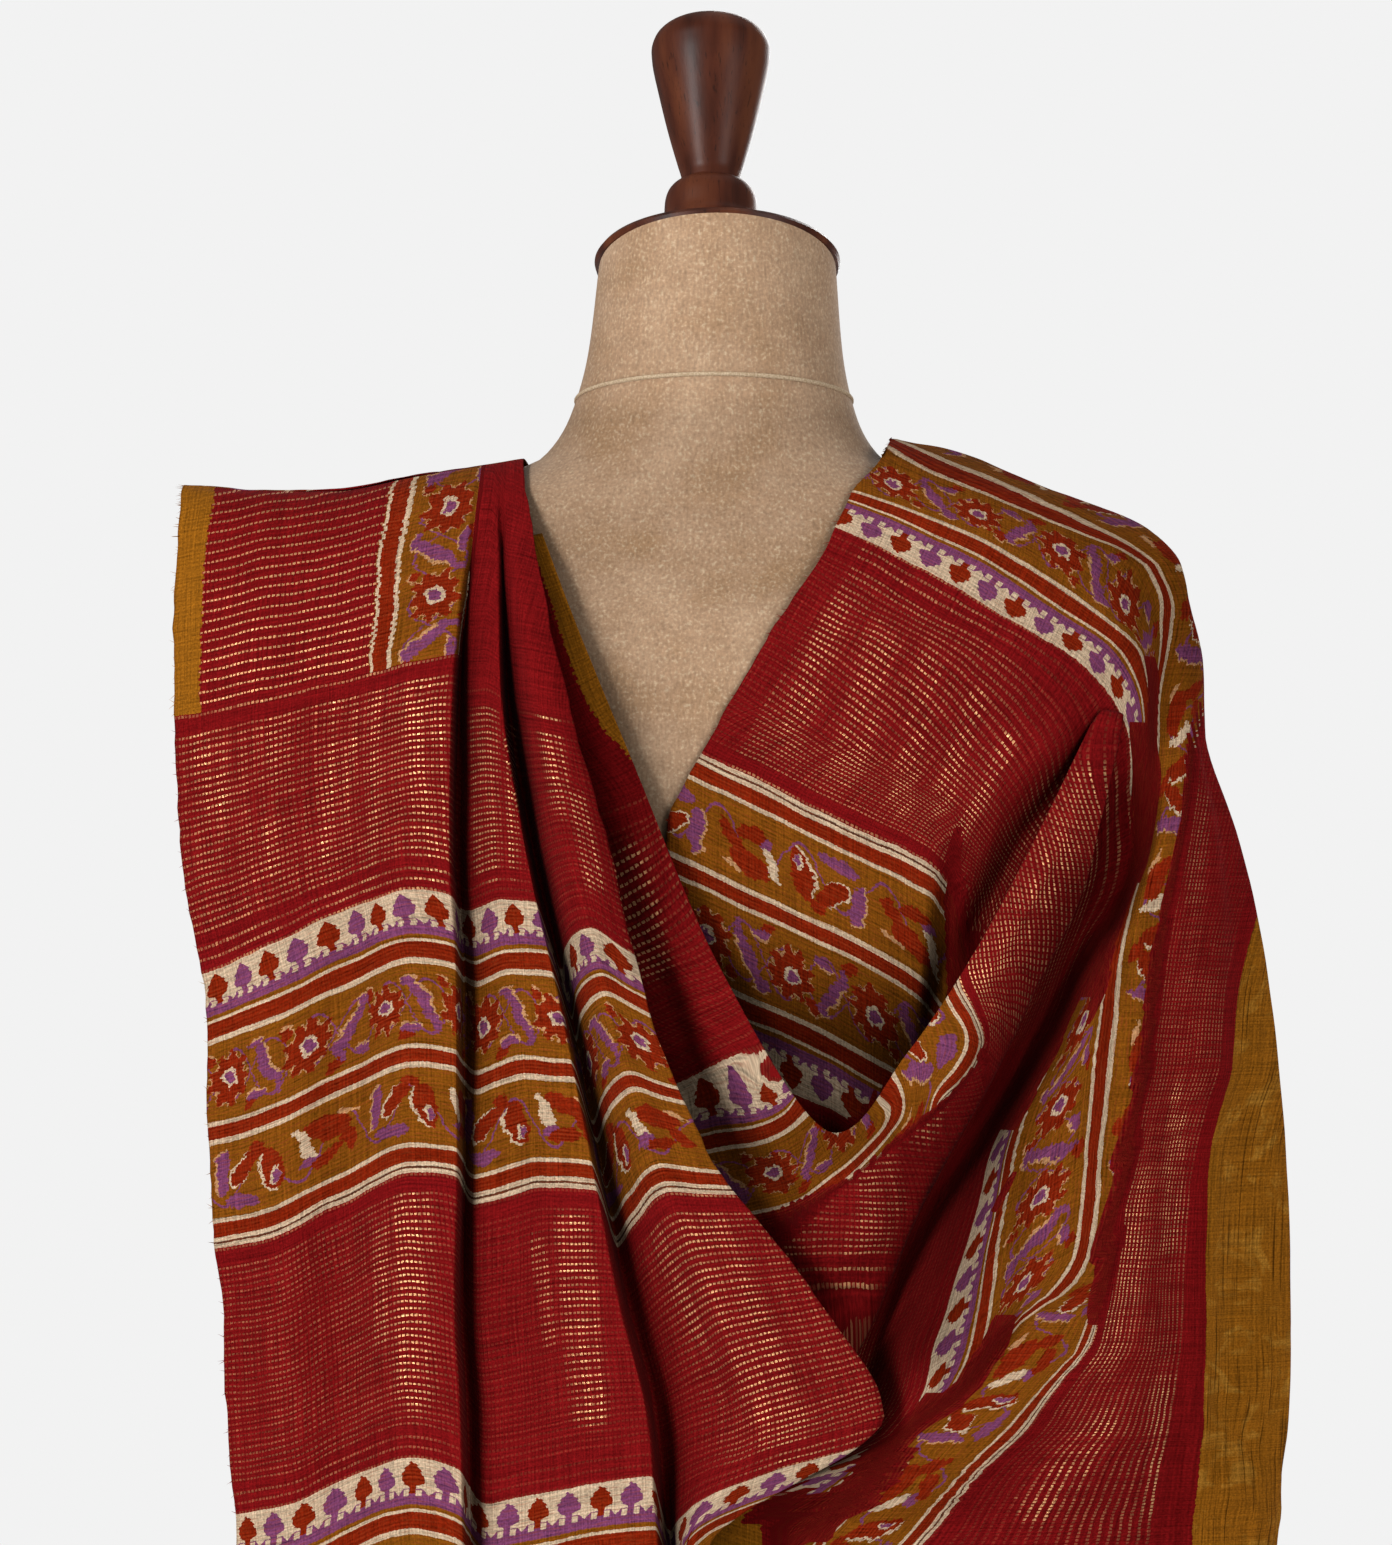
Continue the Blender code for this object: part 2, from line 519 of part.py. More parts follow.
def main():
    for thing in list(bpy.data.objects):
        bpy.data.objects.remove(thing, do_unlink=True)
    collection = make_collection("sari_on_dress_form")
    linen = make_material("form linen", (0.40, 0.26, 0.17), 0.9)
    wood = make_material("dark turned wood", (0.07, 0.025, 0.015), 0.35)
    metal = make_material("dark pole steel", (0.05, 0.045, 0.04), 0.4, 0.8)
    silk = make_material("red slub silk", (0.27, 0.013, 0.017), 0.6)
    build_stand(collection, wood, metal)
    build_form(collection, linen, wood)
    add_sheet("sari_right_drape", 38, 24, right_drape_point, collection, silk)
    add_sheet("sari_back_fall", 32, 20, fall_point, collection, silk)
    add_sheet("sari_back_swag", 26, 12, swag_point, collection, silk)
    add_sheet("sari_front_band", 15, 20, front_point, collection, silk)
    add_sheet("sari_skirt", SKIRT_FOLDS * 4, 10, skirt_point, collection, silk, closed=True)
    add_sheet("sari_front_pleats", PLEAT_COUNT * 6, 6, pleats_point, collection, silk)


main()
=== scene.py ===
"""Looks of a sari draped over a limbless dress form on a turned stand.

Laid out as a Blender add-on and run as a script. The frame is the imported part, in metres, with +Z up
and the photographed back towards -Y. The tables are in millimetres, but for those named after the
photograph, which are in its pixels. Each stretch of cloth is a grid laid on its solid's form, with a
UV map that says how far each point lies across the sari and along it, so that one woven material
draws the borders, the motifs and the gold weft on every stretch.
"""
import functools
import math
import random

import bmesh
import bpy
import numpy as np
from mathutils import Euler, Matrix, Vector, noise


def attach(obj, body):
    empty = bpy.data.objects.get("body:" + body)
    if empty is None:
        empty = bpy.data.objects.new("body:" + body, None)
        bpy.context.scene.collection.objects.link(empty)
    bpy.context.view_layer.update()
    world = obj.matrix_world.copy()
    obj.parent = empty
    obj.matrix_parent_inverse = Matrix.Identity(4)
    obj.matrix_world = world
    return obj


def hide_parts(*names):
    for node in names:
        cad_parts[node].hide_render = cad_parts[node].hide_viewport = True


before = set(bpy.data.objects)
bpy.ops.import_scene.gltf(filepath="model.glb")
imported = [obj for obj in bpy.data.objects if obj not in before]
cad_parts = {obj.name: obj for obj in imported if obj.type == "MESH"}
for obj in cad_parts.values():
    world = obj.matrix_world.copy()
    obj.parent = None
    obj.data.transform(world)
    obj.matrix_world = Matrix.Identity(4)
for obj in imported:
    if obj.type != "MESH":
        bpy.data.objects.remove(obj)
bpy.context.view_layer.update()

bl_info = {
    "name": "Draped sari on a dress form",
    "version": (1, 0, 0),
    "blender": (4, 5, 0),
    "location": "3D View > Sidebar > Sari",
    "description": "Builds a woven sari over a linen dress form on a turned stand",
    "category": "Add Mesh",
}

MM = 0.001


def table(header, rows):
    """Rows of named values, from one header of names and a tuple for each row."""
    names = header.split()
    return [dict(zip(names, row)) for row in rows]


# The photograph: size of a pixel, the column of the form's middle, and the height of its top row
PHOTO_PIXEL = 0.45
PHOTO_MIDDLE = 711.0
PHOTO_TOP = 1565.7
PHOTO_WIDTH = 1392
PHOTO_HEIGHT = 1545

# The drape's points that show in the photograph lie on this side of here
PHOTO_SIDE = 20.0

# Sizes shared with the solids
DRAPE_Y = -10.0
LEFT_REACH = 290.0
FRONT_REACH = 215.0
FALL_FOOT = 598.0
FALL_HEM_RISE = 55.0
FALL_RISE_DROP = 580.0
FALL_RISE_SPAN = 170.0
DRAPE_HEM_RISE = 80.0
DRAPE_RISE_TOP = 800.0
DRAPE_RISE_SPAN = 190.0
NECK_TILT = 23.0
NECK_TOP_HEIGHT = 1447.0
NECK_TOP_Y = 4.0
NECK_CENTRE_X = 3.0
CAP_RADIUS = 56.0
CAP_THICK = 7.0
HEM_HEIGHT = 30.0
BASE_RADIUS = 165.0
BASE_THICK = 18.0
FORM_BOTTOM = 700.0
BOARD_THICK = 14.0
POLE_RADIUS = 14.0

# The corded seam round the neck
CORD_HEIGHT = 1387.0
CORD_RADIUS = 1.0

# Back of the form, from which the camera's distance is measured, and the height that the lights aim at
FORM_BACK_Y = -70.0
LIGHT_AIM = 1150.0

# Where the sari's length is marked off, counted from the start of the end piece's first red zone
SARI_WIDTH = 1150.0
FIRST_BORDER = 103.0
BORDER_WIDTH = 128.0
SECOND_BORDER = 358.0
END_PANEL = 566.0
FIRST_BORDER_END = FIRST_BORDER + BORDER_WIDTH
SECOND_BORDER_END = SECOND_BORDER + BORDER_WIDTH

# How far before that point the stretches of plain body cloth begin
FRONT_START = 92.0
SKIRT_START = 400.0
PLEATS_START = 1900.0

# Depth into a border of the lines that are followed over the right drape, and a stretch past the last line
BEAD_DEPTH = 32.4
LACE_DEPTH = 70.2
LEAF_DEPTH = 79.0
PAST_LAST_LINE = 400.0

# One row for each girth of the dress form
FORM_SECTIONS = table("z half_width half_depth y tilt name", [
    (700, 156, 104, -4, 0, "bottom"), (800, 166, 114, -6, 0, "hip"), (890, 150, 104, -2, 0, "high hip"),
    (985, 121, 87, 2, 0, "waist"), (1080, 136, 100, 4, 0, "ribs"), (1170, 154, 116, 5, 0, "chest"),
    (1240, 178, 108, -1, 0, "armhole"), (1285, 195, 90, -8, 0, "shoulder end"),
    (1310, 191, 73, -10, 0, "shoulder top"), (1332, 168, 62, -11, 0, "slope low"),
    (1344, 132, 56, -12, 0, "slope mid"), (1352, 100, 54, -11, 0, "slope high"),
    (1361, 77, 55, -8, 3, "neck root"), (1380, 65, 56, -4, 9, "neck base"), (1408, 58, 56, 0, 16, "neck"),
    (NECK_TOP_HEIGHT, 54, 56, NECK_TOP_Y, NECK_TILT, "neck top"),
])

# Gap between one piece of the stand or form and the next
SEAM = 0.3

# Turned profiles, radius and height from the foot of each piece, top first
FINIAL_PROFILE = [
    (0.0, 117.5), (8.2, 117.2), (15.4, 116.0), (21.5, 113.2), (25.8, 108.4), (27.2, 103.0),
    (26.8, 97.0), (23.3, 79.0), (19.0, 60.0), (15.3, 46.0), (13.5, 39.0), (13.5, 35.6),
    (16.8, 34.0), (19.8, 30.4), (21.0, 25.6), (21.4, 18.0), (22.9, 12.5), (22.9, 0.0), (0.0, 0.0),
]
CAP_PROFILE = [
    (0.0, CAP_THICK), (CAP_RADIUS - 5.0, CAP_THICK), (CAP_RADIUS - 1.5, CAP_THICK - 1.5),
    (CAP_RADIUS, CAP_THICK / 2.0), (CAP_RADIUS - 0.8, 0.8), (CAP_RADIUS - 2.5, 0.0), (0.0, 0.0),
]
BASE_PROFILE = [
    (0.0, 52.0), (20.0, 52.0), (23.0, 49.0), (24.0, 40.0), (30.0, 30.0), (60.0, 23.0),
    (BASE_RADIUS - 6.0, BASE_THICK), (BASE_RADIUS, BASE_THICK - 5.0), (BASE_RADIUS, 0.0), (0.0, 0.0),
]

# The end stretch of the sari, from the nape edge round the right side to the front
RIGHT_GIRTHS = table("z reach left_reach back front nape_edge front_edge", [
    (1369.5, 85, 85, 14, 14, 82, 83), (1366, 101, 96, 34, 34, 80, 82), (1359, 122, 112, 46, 46, 76, 78),
    (1348, 150, 150, 57, 57, 66.5, 69), (1337, 179, 179, 63, 66, 60, 62), (1325, 203, 203, 69, 74, 54, 57),
    (1312, 214, 225, 77, 82, 47, 55), (1293, 217.5, 250, 87, 96, 35, 52),
    (1266, 222, 275, 96, 114, 18, 50), (1238, 222, 290, 101, 128, 2, 50),
    (1188, 234, 290, 103, 143, -20, 54), (1114, 246, 290, 105, 145, -16, 74),
    (1054, 251, 290, 107, 138, 8, 96), (988, 253, 290, 111, 136, 30, 120),
    (930, 254, 290, 116, 138, 42, 138), (900, 253.5, 290, 120, 140, 8, 146),
    (882, 253, 290, 122, 142, -20, 151), (840, 252, 290, 128, 146, -14, 160),
    (780, 250, 290, 138, 152, -8, 174), (690, 247, 290, 150, 160, 0, 192),
    (600, 244, 290, 158, 168, 10, 208),
])
RIGHT_LEVELS = [1369.5, 1368, 1365, 1360, 1352, 1342, 1330, 1316, 1298, 1274, 1244, 1208, 1168, 1126,
                1084, 1042, 1000, 962, 930, 904, 880, 840, 780, 700, 610]

# The fold that opens the drape above the swag: its place, how far it stands out, and its inner wall
LIP_FOLD = table("z across stand wall", [
    (1340, 150, 0, 30), (1260, 196, 2, 20), (1221, 200, 9, 16), (1164, 187, 19, 15), (1119, 168, 25, 17),
    (1054, 137, 31, 22), (1002, 113, 34, 28), (946, 94, 34, 28), (924, 80, 32, 24), (900, 31, 27, 14),
    (882, -9, 20, 6), (840, -4, 12, 6), (740, 8, 8, 6), (600, 20, 5, 6),
])

# Folds of the fall from the left shoulder, left to right, at named heights
FALL_HEIGHTS = dict(ridge=1352, yoke=1314, blade=1251, back=1179, ribs=1116,
                    high_waist=1048, waist=981, high_hip=929, hip=871, skirt=740, hem=600)
FALL_FOLDS = table("name stand ridge yoke blade back ribs high_waist waist high_hip hip skirt hem", [
    ("selvedge", 0, -239, -242, -242, -238, -227, -226, -220, -217, -213, -206, -196),
    ("ripple one", 5, -200, -204, -206, -204, -197, -197, -192, -189, -186, -178, -168),
    ("ripple two", 2, -165, -171, -175, -174, -169, -170, -168, -166, -162, -152, -142),
    ("panel crest", 17, -124, -130, -133, -135, -133, -134, -135, -134, -132, -120, -108),
    ("panel edge", 18, -106, -111, -116, -117, -114, -114, -115, -112, -111, -98, -84),
    ("groove one", 1, -104, -107.5, -112.5, -113, -110, -110, -111, -108, -107, -93, -79),
    ("pleat one side", 7, -102, -105, -109, -109, -105, -104, -104, -100, -98, -83, -68),
    ("pleat one crest", 20, -99, -100, -101, -96, -88, -78, -66, -56, -50, -36, -24),
    ("pleat one edge", 27, -96.5, -96, -94, -83, -69, -55, -42, -29, -24, -6, 4),
    ("groove two", 8, -95, -94, -91, -79.5, -65, -51, -37, -24, -18, 0, 10),
    ("pleat two side", 20, -93.5, -92, -87, -75, -60, -43, -24, -8, -15, 5, 15),
    ("pleat two crest", 40, -90, -87, -77, -62, -47, -25, 5, 28, -11, 12, 24),
    ("fold edge", 35, -85, -79, -66, -45, -30, -3, 47, 76, -1, 24, 36),
])
FALL_DROPS = [0, 1.5, 5, 11, 20, 34, 54, 82, 118, 160, 205, 250, 295, 340, 385, 425, 452, 480, 540,
              620, 750]
FALL_DEPTHS = table("drop depth", [
    (0, 0), (2, 20), (8, 38), (18, 54), (35, 70), (60, 86), (90, 97), (130, 104), (180, 107), (300, 109),
    (400, 115), (480, 124), (600, 144), (760, 162),
])
FALL_RIDGE = table("x z", [
    (-239, 1349), (-205, 1346), (-172, 1346), (-140, 1352), (-110, 1356.5), (-86, 1360),
])

# Photograph rows at which the woven lines cross each fold of the fall
FALL_LINES = table("along rows", [
    (0.0, [718, 702, 686, 662, 656, 658, 690, 690, 698, 704, 712, 716, 722]),
    (FIRST_BORDER, [975, 948, 919, 889, 896, 908, 910, 899, 901, 968, 944, 926, 953]),
    (FIRST_BORDER_END, [1249, 1236, 1206, 1170, 1174, 1190, 1203, 1184, 1187, 1243, 1218, 1186, 1190]),
    (SECOND_BORDER, [1512, 1500, 1476, 1452, 1464, 1482, 1496, 1474, 1466, 1521, 1508, 1476, 1437]),
    (SECOND_BORDER_END, [1796, 1784, 1760, 1736, 1748, 1764, 1778, 1758, 1750, 1800, 1790, 1764, 1724]),
    (END_PANEL, [1974, 1962, 1938, 1914, 1926, 1942, 1956, 1936, 1928, 1978, 1968, 1942, 1902]),
])
# The inner panel of the right drape: rows at which the woven lines cross each column
INNER_PANEL = table("column last first", [
    (600, 700, 1010), (701, 752, 1050), (830, 815, 1105), (900, 846, 1150), (930, 862, 1180),
    (950, 885, 1230), (962, 935, 1260), (1100, 1400, 1700),
])
SWAG_LIP = table("row column", [
    (860, 1040), (946, 975), (985, 952), (1052, 902), (1128, 833), (1200, 760),
])

PLEAT_ONE_START = 238.0
PLEAT_TWO_START = 402.0

# Ribs of the swag between the shoulders: one row for each fold, with a value for each place along it
SWAG_FOLDS = table("name across height stand", [
    ("open edge", [-76, -61, -32, 4, 55, 87, 119, 140, 171],
     [1326, 1286, 1215, 1131, 1058, 1093, 1140, 1179, 1240], [4, 9, 12, 16, 29, 29, 22, 14, -1]),
    ("crest", [-81, -68, -42, -9, 54, 99, 132, 157, 177],
     [1325, 1278, 1206, 1122, 1030, 1075, 1139, 1183, 1246], [4, 8, 12, 17, 33, 35, 31, 24, 0]),
    ("roll edge", [-86, -74, -51, -19, 56, 108, 146, 168, 185],
     [1324, 1268, 1197, 1111, 994, 1057, 1124, 1170, 1244], [4, 7, 10, 11, 19, 21, 20, 17, 0]),
    ("tucked edge", [-91, -80, -59, -27, 50, 95, 137, 163, 184],
     [1323, 1260, 1183, 1089, 948, 1026, 1112, 1164, 1234], [4, 6, 8, 8, 8, 8, 7, 6, -1]),
])

# Points of the swag's showing side: column and row, distance along the sari, and in from its edge
SWAG_PINS = [
    (542, 533, -130, 8), (575, 622, -85, 9), (609, 722, -37, 12), (640, 779, -8, 18), (720, 966, 62, 24),
    (531, 535, -128, 14), (560, 639, -80, 17), (618, 799, -4, 28), (598, 819, 2, 36), (691, 986, 66, 38),
    (669, 1010, 72, 52), (785, 1077, 103, 31), (766, 1053, 103, 45), (739, 1052, 103, 57),
    (718, 1061, 103, 67), (686, 1077, 103, 83), (697, 1132, 125, 83), (796, 1092, 125, 35),
    (704, 1149, 135.5, 83), (810, 1108, 135.5, 32), (833, 1128, 154, 22), (750, 1209, 173, 73),
    (801, 1192, 173, 49), (835, 1167, 173, 30), (856, 1149, 173, 18), (870, 1135, 173, 9),
    (881, 1123, 173, 2), (879, 1098, 173, -9), (872, 1089, 173, -14), (760, 1222, 181, 71),
    (812, 1197, 181, 45), (847, 1172, 181, 26), (870, 1149, 181, 11), (888, 1128, 181, -1),
    (899, 1112, 181, -10), (901, 1098, 181, -16), (895, 1080, 181, -24), (888, 1069, 181, -29),
    (778, 1236, 190, 67), (926, 1060, 203, -29), (922, 1032, 203, -44), (936, 1103, 231, -13),
    (957, 1082, 231, -26), (973, 1061, 231, -38), (980, 1038, 231, -49), (977, 1020, 231, -57),
    (959, 984, 231, -75), (975, 946, 247, -90), (1022, 859, 290, -120), (1080, 755, 340, -165),
    (1000, 960, 266, -82), (1060, 850, 313, -128), (1095, 755, 345, -165), (1000, 1040, 262, -58),
    (1020, 1010, 285, -68), (1041, 978, 300, -78), (1067, 949, 315, -88), (1092, 904, 330, -106),
    (1107, 875, 340, -118), (1116, 755, 354, -165),
]

# Height over which the zone above the inner border takes up that border's lines
PANEL_BLEND = 34.0

# The edge of the fold that lies across the swag, and the pins of the cloth that shows below it
SWAG_FOLD_EDGE = [(640, 1320), (778, 1224), (858, 1167), (895, 1137), (936, 1103), (957, 1082), (973, 1061),
                  (982, 1034)]
TUCKED_PINS = [
    (982, 1042, 243, -49), (1000, 1045, 262, -55), (960, 1100, 272, -30), (936, 1106, 275, -13),
    (895, 1140, 292, 4), (858, 1170, 305, 27), (778, 1228, 333, 60), (783, 1256, 345, 60),
    (835, 1270, 351, 37), (895, 1259, 346, 10), (922, 1199, 318, 0), (951, 1130, 285, -18),
    (1015, 1006, 285, -75), (822, 1320, 356, 45), (822, 1373, 357, 45), (700, 1180, 330, 95),
]

# Columns at which the woven lines of the right drape cross each row of the photograph
RIGHT_LINES = table("row buds first_end second bead lace leaf inner outer panel cut", [
    (430, -600, 69, 616, 680, 862, 884, 1010, 1040, 1160, 470),
    (475, -510, 157, 708, 808, 942, 991, 1110, 1130, 1250, 470),
    (520, -420, 246, 818, 939, 1052, 1092, 1200, 1225, 1330, 470),
    (565, -330, 334, 918, 1027, 1154, 1163, 1235, 1255, 1350, 470),
    (610, -240, 422, 993, 1095, 1172, 1180, 1237, 1250, 1345, 470),
    (655, -150, 511, 1072, 1147, 1170, 1176, 1225, 1232, 1330, 470),
    (700, -60, 599, 1115, 1157, 1164, 1170, 1208, 1212, 1315, 469),
    (745, 30, 687, 1132, 1150, 1160, 1167, 1193, 1195, 1305, 462),
    (790, 120, 785, 1133, 1141, 1152, 1159, 1187, 1189, 1295, 458),
    (840, 220, 880, 1128, 1131, 1141, 1148, 1178, 1180, 1280, 456),
    (890, 320, 952, 1112, 1116, 1120, 1128, 1167, 1170, 1268, 455),
    (945, 430, 962, 1085, 1096, 1105, 1121, 1158, 1160, 1252, 454),
    (1000, 500, 960, 1062, 1072, 1099, 1117, 1151, 1153, 1240, 452),
    (1067, 705, 940, 1030, 1042, 1090, 1111, 1140, 1142, 1234, 450),
    (1110, 820, 915, 1008, 1022, 1087, 1105, 1130, 1132, 1219, 449),
    (1153, 855, 895, 988, 1009, 1083, 1099, 1121, 1123, 1208, 447),
    (1200, 835, 868, 976, 1001, 1079, 1095, 1108, 1110, 1203, 443),
    (1246, 812, 843, 962, 993, 1073, 1088, 1102, 1104, 1201, 443),
    (1283, 795, 825, 950, 989, 1050, 1068, 1096, 1098, 1200, 450),
    (1310, 780, 812, 942, 986, 1022, 1026, 1085, 1092, 1200, 470),
    (1340, 765, 800, 930, 981, 992, 995, 1073, 1084, 1200, 471),
    (1380, 740, 780, 922, 960, 966, 969, 1035, 1052, 1200, 471),
    (1425, 700, 750, 893, 900, 903, 906, 993, 1021, 1198, 471),
    (1456, 660, 720, 830, 873, 876, 879, 962, 985, 1197, 471),
    (1478, 620, 690, 783, 852, 862, 866, 943, 965, 1196, 471),
    (1520, 560, 620, 688, 800, 822, 830, 905, 935, 1193, 471),
    (1545, 500, 570, 625, 770, 805, 815, 885, 917, 1192, 471),
    (1700, 420, 500, 560, 650, 740, 760, 840, 868, 1184, 471),
    (2150, 400, 480, 560, 640, 730, 750, 826, 856, 1172, 471),
])

# The stretch across the front, from the left shoulder to the right hip
FRONT_BAND = table("along inner_x inner_z outer_x outer_z", [
    (0.0, -86, 1365, -239, 1349), (0.1, -78, 1340, -238, 1322), (0.25, -52, 1270, -232, 1230),
    (0.45, -2, 1176, -212, 1070), (0.65, 60, 1100, -128, 918), (0.85, 124, 1046, 20, 838),
    (1.0, 158, 1022, 120, 826),
])
FRONT_DEPTHS = table("z depth", [
    (1365, 0), (1362, 22), (1355, 40), (1345, 56), (1325, 76), (1300, 92), (1260, 112), (1210, 127),
    (1170, 132), (1100, 127), (1000, 122), (900, 136), (820, 150),
])

# Girths of the skirt
SKIRT_GIRTHS = table("z half_width half_depth y wave", [
    (1004, 124.5, 90.5, 2, 0), (985, 124, 90, 2, 0.3), (940, 139, 99, 0, 0.6), (890, 155, 109, -2, 0.8),
    (800, 172, 120, -5, 1), (650, 186, 134, -3, 3), (450, 206, 156, 0, 5), (240, 226, 178, 2, 7),
    (HEM_HEIGHT, 244, 198, 4, 9),
])
SKIRT_FOLDS = 12
SKIRT_LEVELS = [1004, 985, 950, 915, 880, 840, 790, 700, 540, 300, HEM_HEIGHT]

# The tucked pleats at the centre front
PLEAT_COUNT = 6
PLEAT_GAP = 1.2
PLEAT_ROWS = table("z left right stand wave", [
    (990, -62, 46, 2.8, 2.4), (900, -70, 52, 7, 4), (780, -84, 66, 9, 6), (560, -112, 92, 17, 9),
    (300, -142, 122, 25, 12), (HEM_HEIGHT, -168, 148, 31, 15),
])

# Creases, listed as columns and rows of the photograph: depth in millimetres, outwards if positive
FALL_CREASES = table("name depth width path", [
    ("selvedge ripple", -2.2, 9, [(214, 700), (226, 960), (240, 1250), (252, 1540)]),
    ("yoke ripple", 2.4, 10, [(262, 500), (258, 700), (268, 900)]),
    ("panel trough", -3.0, 12, [(352, 500), (346, 760), (352, 1000), (344, 1250), (350, 1540)]),
    ("yoke hollow", -2.0, 8, [(398, 470), (386, 620), (380, 760)]),
    ("lower panel ridge", 2.4, 13, [(300, 1100), (296, 1300), (306, 1540)]),
    ("pleat one hollow", -4.0, 11, [(520, 1060), (516, 1250), (528, 1540)]),
    ("pleat one inner", 2.2, 7, [(488, 1020), (492, 1250), (500, 1540)]),
    ("pleat two hollow", -3.0, 8, [(596, 860), (628, 1010), (672, 1140), (722, 1260)]),
    ("pleat two lower hollow", -3.4, 11, [(668, 1240), (716, 1380), (752, 1470)]),
    ("pleat two outer hollow", -2.4, 9, [(742, 1230), (800, 1330), (846, 1420)]),
])
DRAPE_CREASES = table("name depth width path", [
    ("panel valley", -7.0, 9, [(960, 980), (985, 912), (1022, 837), (1078, 767), (1112, 700)]),
    ("panel bend", 4.5, 6, [(935, 862), (926, 940), (918, 1035)]),
    ("panel fold shadow", -6.0, 6, [(944, 880), (938, 960), (930, 1035)]),
    ("shoulder crease one", -1.6, 11, [(900, 780), (985, 735), (1060, 706)]),
    ("shoulder crease two", 2.2, 10, [(930, 840), (1010, 770), (1090, 724)]),
    ("shoulder crease three", 1.2, 16, [(860, 640), (960, 680), (1040, 730)]),
    ("shoulder roll", -6.0, 9, [(1150, 560), (1168, 620), (1172, 700), (1160, 800), (1140, 880)]),
    ("shoulder ridge", 3.0, 8, [(1190, 590), (1192, 680), (1184, 780), (1172, 880)]),
    ("lip valley", -7.0, 9, [(1150, 770), (1120, 880), (1095, 940)]),
    ("strip trough", -3.0, 8, [(1066, 1010), (1050, 1100), (1030, 1230), (1010, 1320)]),
    ("strip edge", -2.4, 5, [(1128, 920), (1112, 1080), (1098, 1230), (1082, 1290)]),
    ("zone ridge", 2.8, 6, [(1142, 980), (1128, 1100), (1112, 1200), (1104, 1290), (1078, 1360)]),
    ("crease at the foot", -5.0, 6, [(1100, 1285), (1036, 1304), (1000, 1345), (962, 1388), (898, 1434)]),
    ("swoop ridge", 3.0, 11, [(1074, 1350), (1020, 1400), (960, 1450), (900, 1500), (850, 1545)]),
    ("swoop hollow", -3.6, 12, [(1090, 1400), (1020, 1470), (960, 1545)]),
    ("zone fold one", 2.0, 10, [(1150, 1100), (1140, 1300), (1110, 1545)]),
    ("zone fold two", -2.6, 10, [(1178, 1000), (1172, 1240), (1160, 1545)]),
    ("panel edge fold", 2.6, 6, [(1206, 1120), (1200, 1300), (1194, 1545)]),
    ("ochre crease one", -2.6, 7, [(1216, 1390), (1246, 1440), (1284, 1470)]),
    ("ochre crease two", 2.4, 7, [(1206, 1470), (1236, 1500), (1284, 1530)]),
    ("ochre crease three", 1.8, 8, [(1284, 1330), (1250, 1400), (1214, 1450)]),
])
SWAG_CREASES = table("name depth width path", [
    ("roll hollow", -3.0, 6, [(900, 1120), (960, 1040), (1020, 930), (1076, 830)]),
    ("crest ridge", 2.0, 6, [(850, 1165), (930, 1105), (990, 990), (1040, 890)]),
    ("pleat three hollow", -2.6, 6, [(560, 590), (628, 760), (690, 920), (748, 1040)]),
    ("bowl ripple", -2.0, 7, [(700, 1120), (790, 1190), (870, 1190)]),
    ("bowl lower ripple", 2.4, 9, [(760, 1230), (830, 1262), (900, 1210)]),
])

# Long soft folds where the cloth isn't photographed: place across the sheet at its foot and at its top
# (0 to 1), height in millimetres and width
DRAPE_FOLDS = [(0.785, 0.80, 4.0, 0.016), (0.82, 0.825, -3.5, 0.014), (0.862, 0.85, 6.0, 0.02),
               (0.905, 0.88, -3.0, 0.016), (0.94, 0.93, 4.5, 0.018)]
BAND_FOLDS = [(0.14, 0.2, 3.5, 0.03), (0.27, 0.36, 2.5, 0.03), (0.44, 0.46, 4.5, 0.04),
              (0.62, 0.66, 3.0, 0.03), (0.8, 0.78, 4.0, 0.04)]

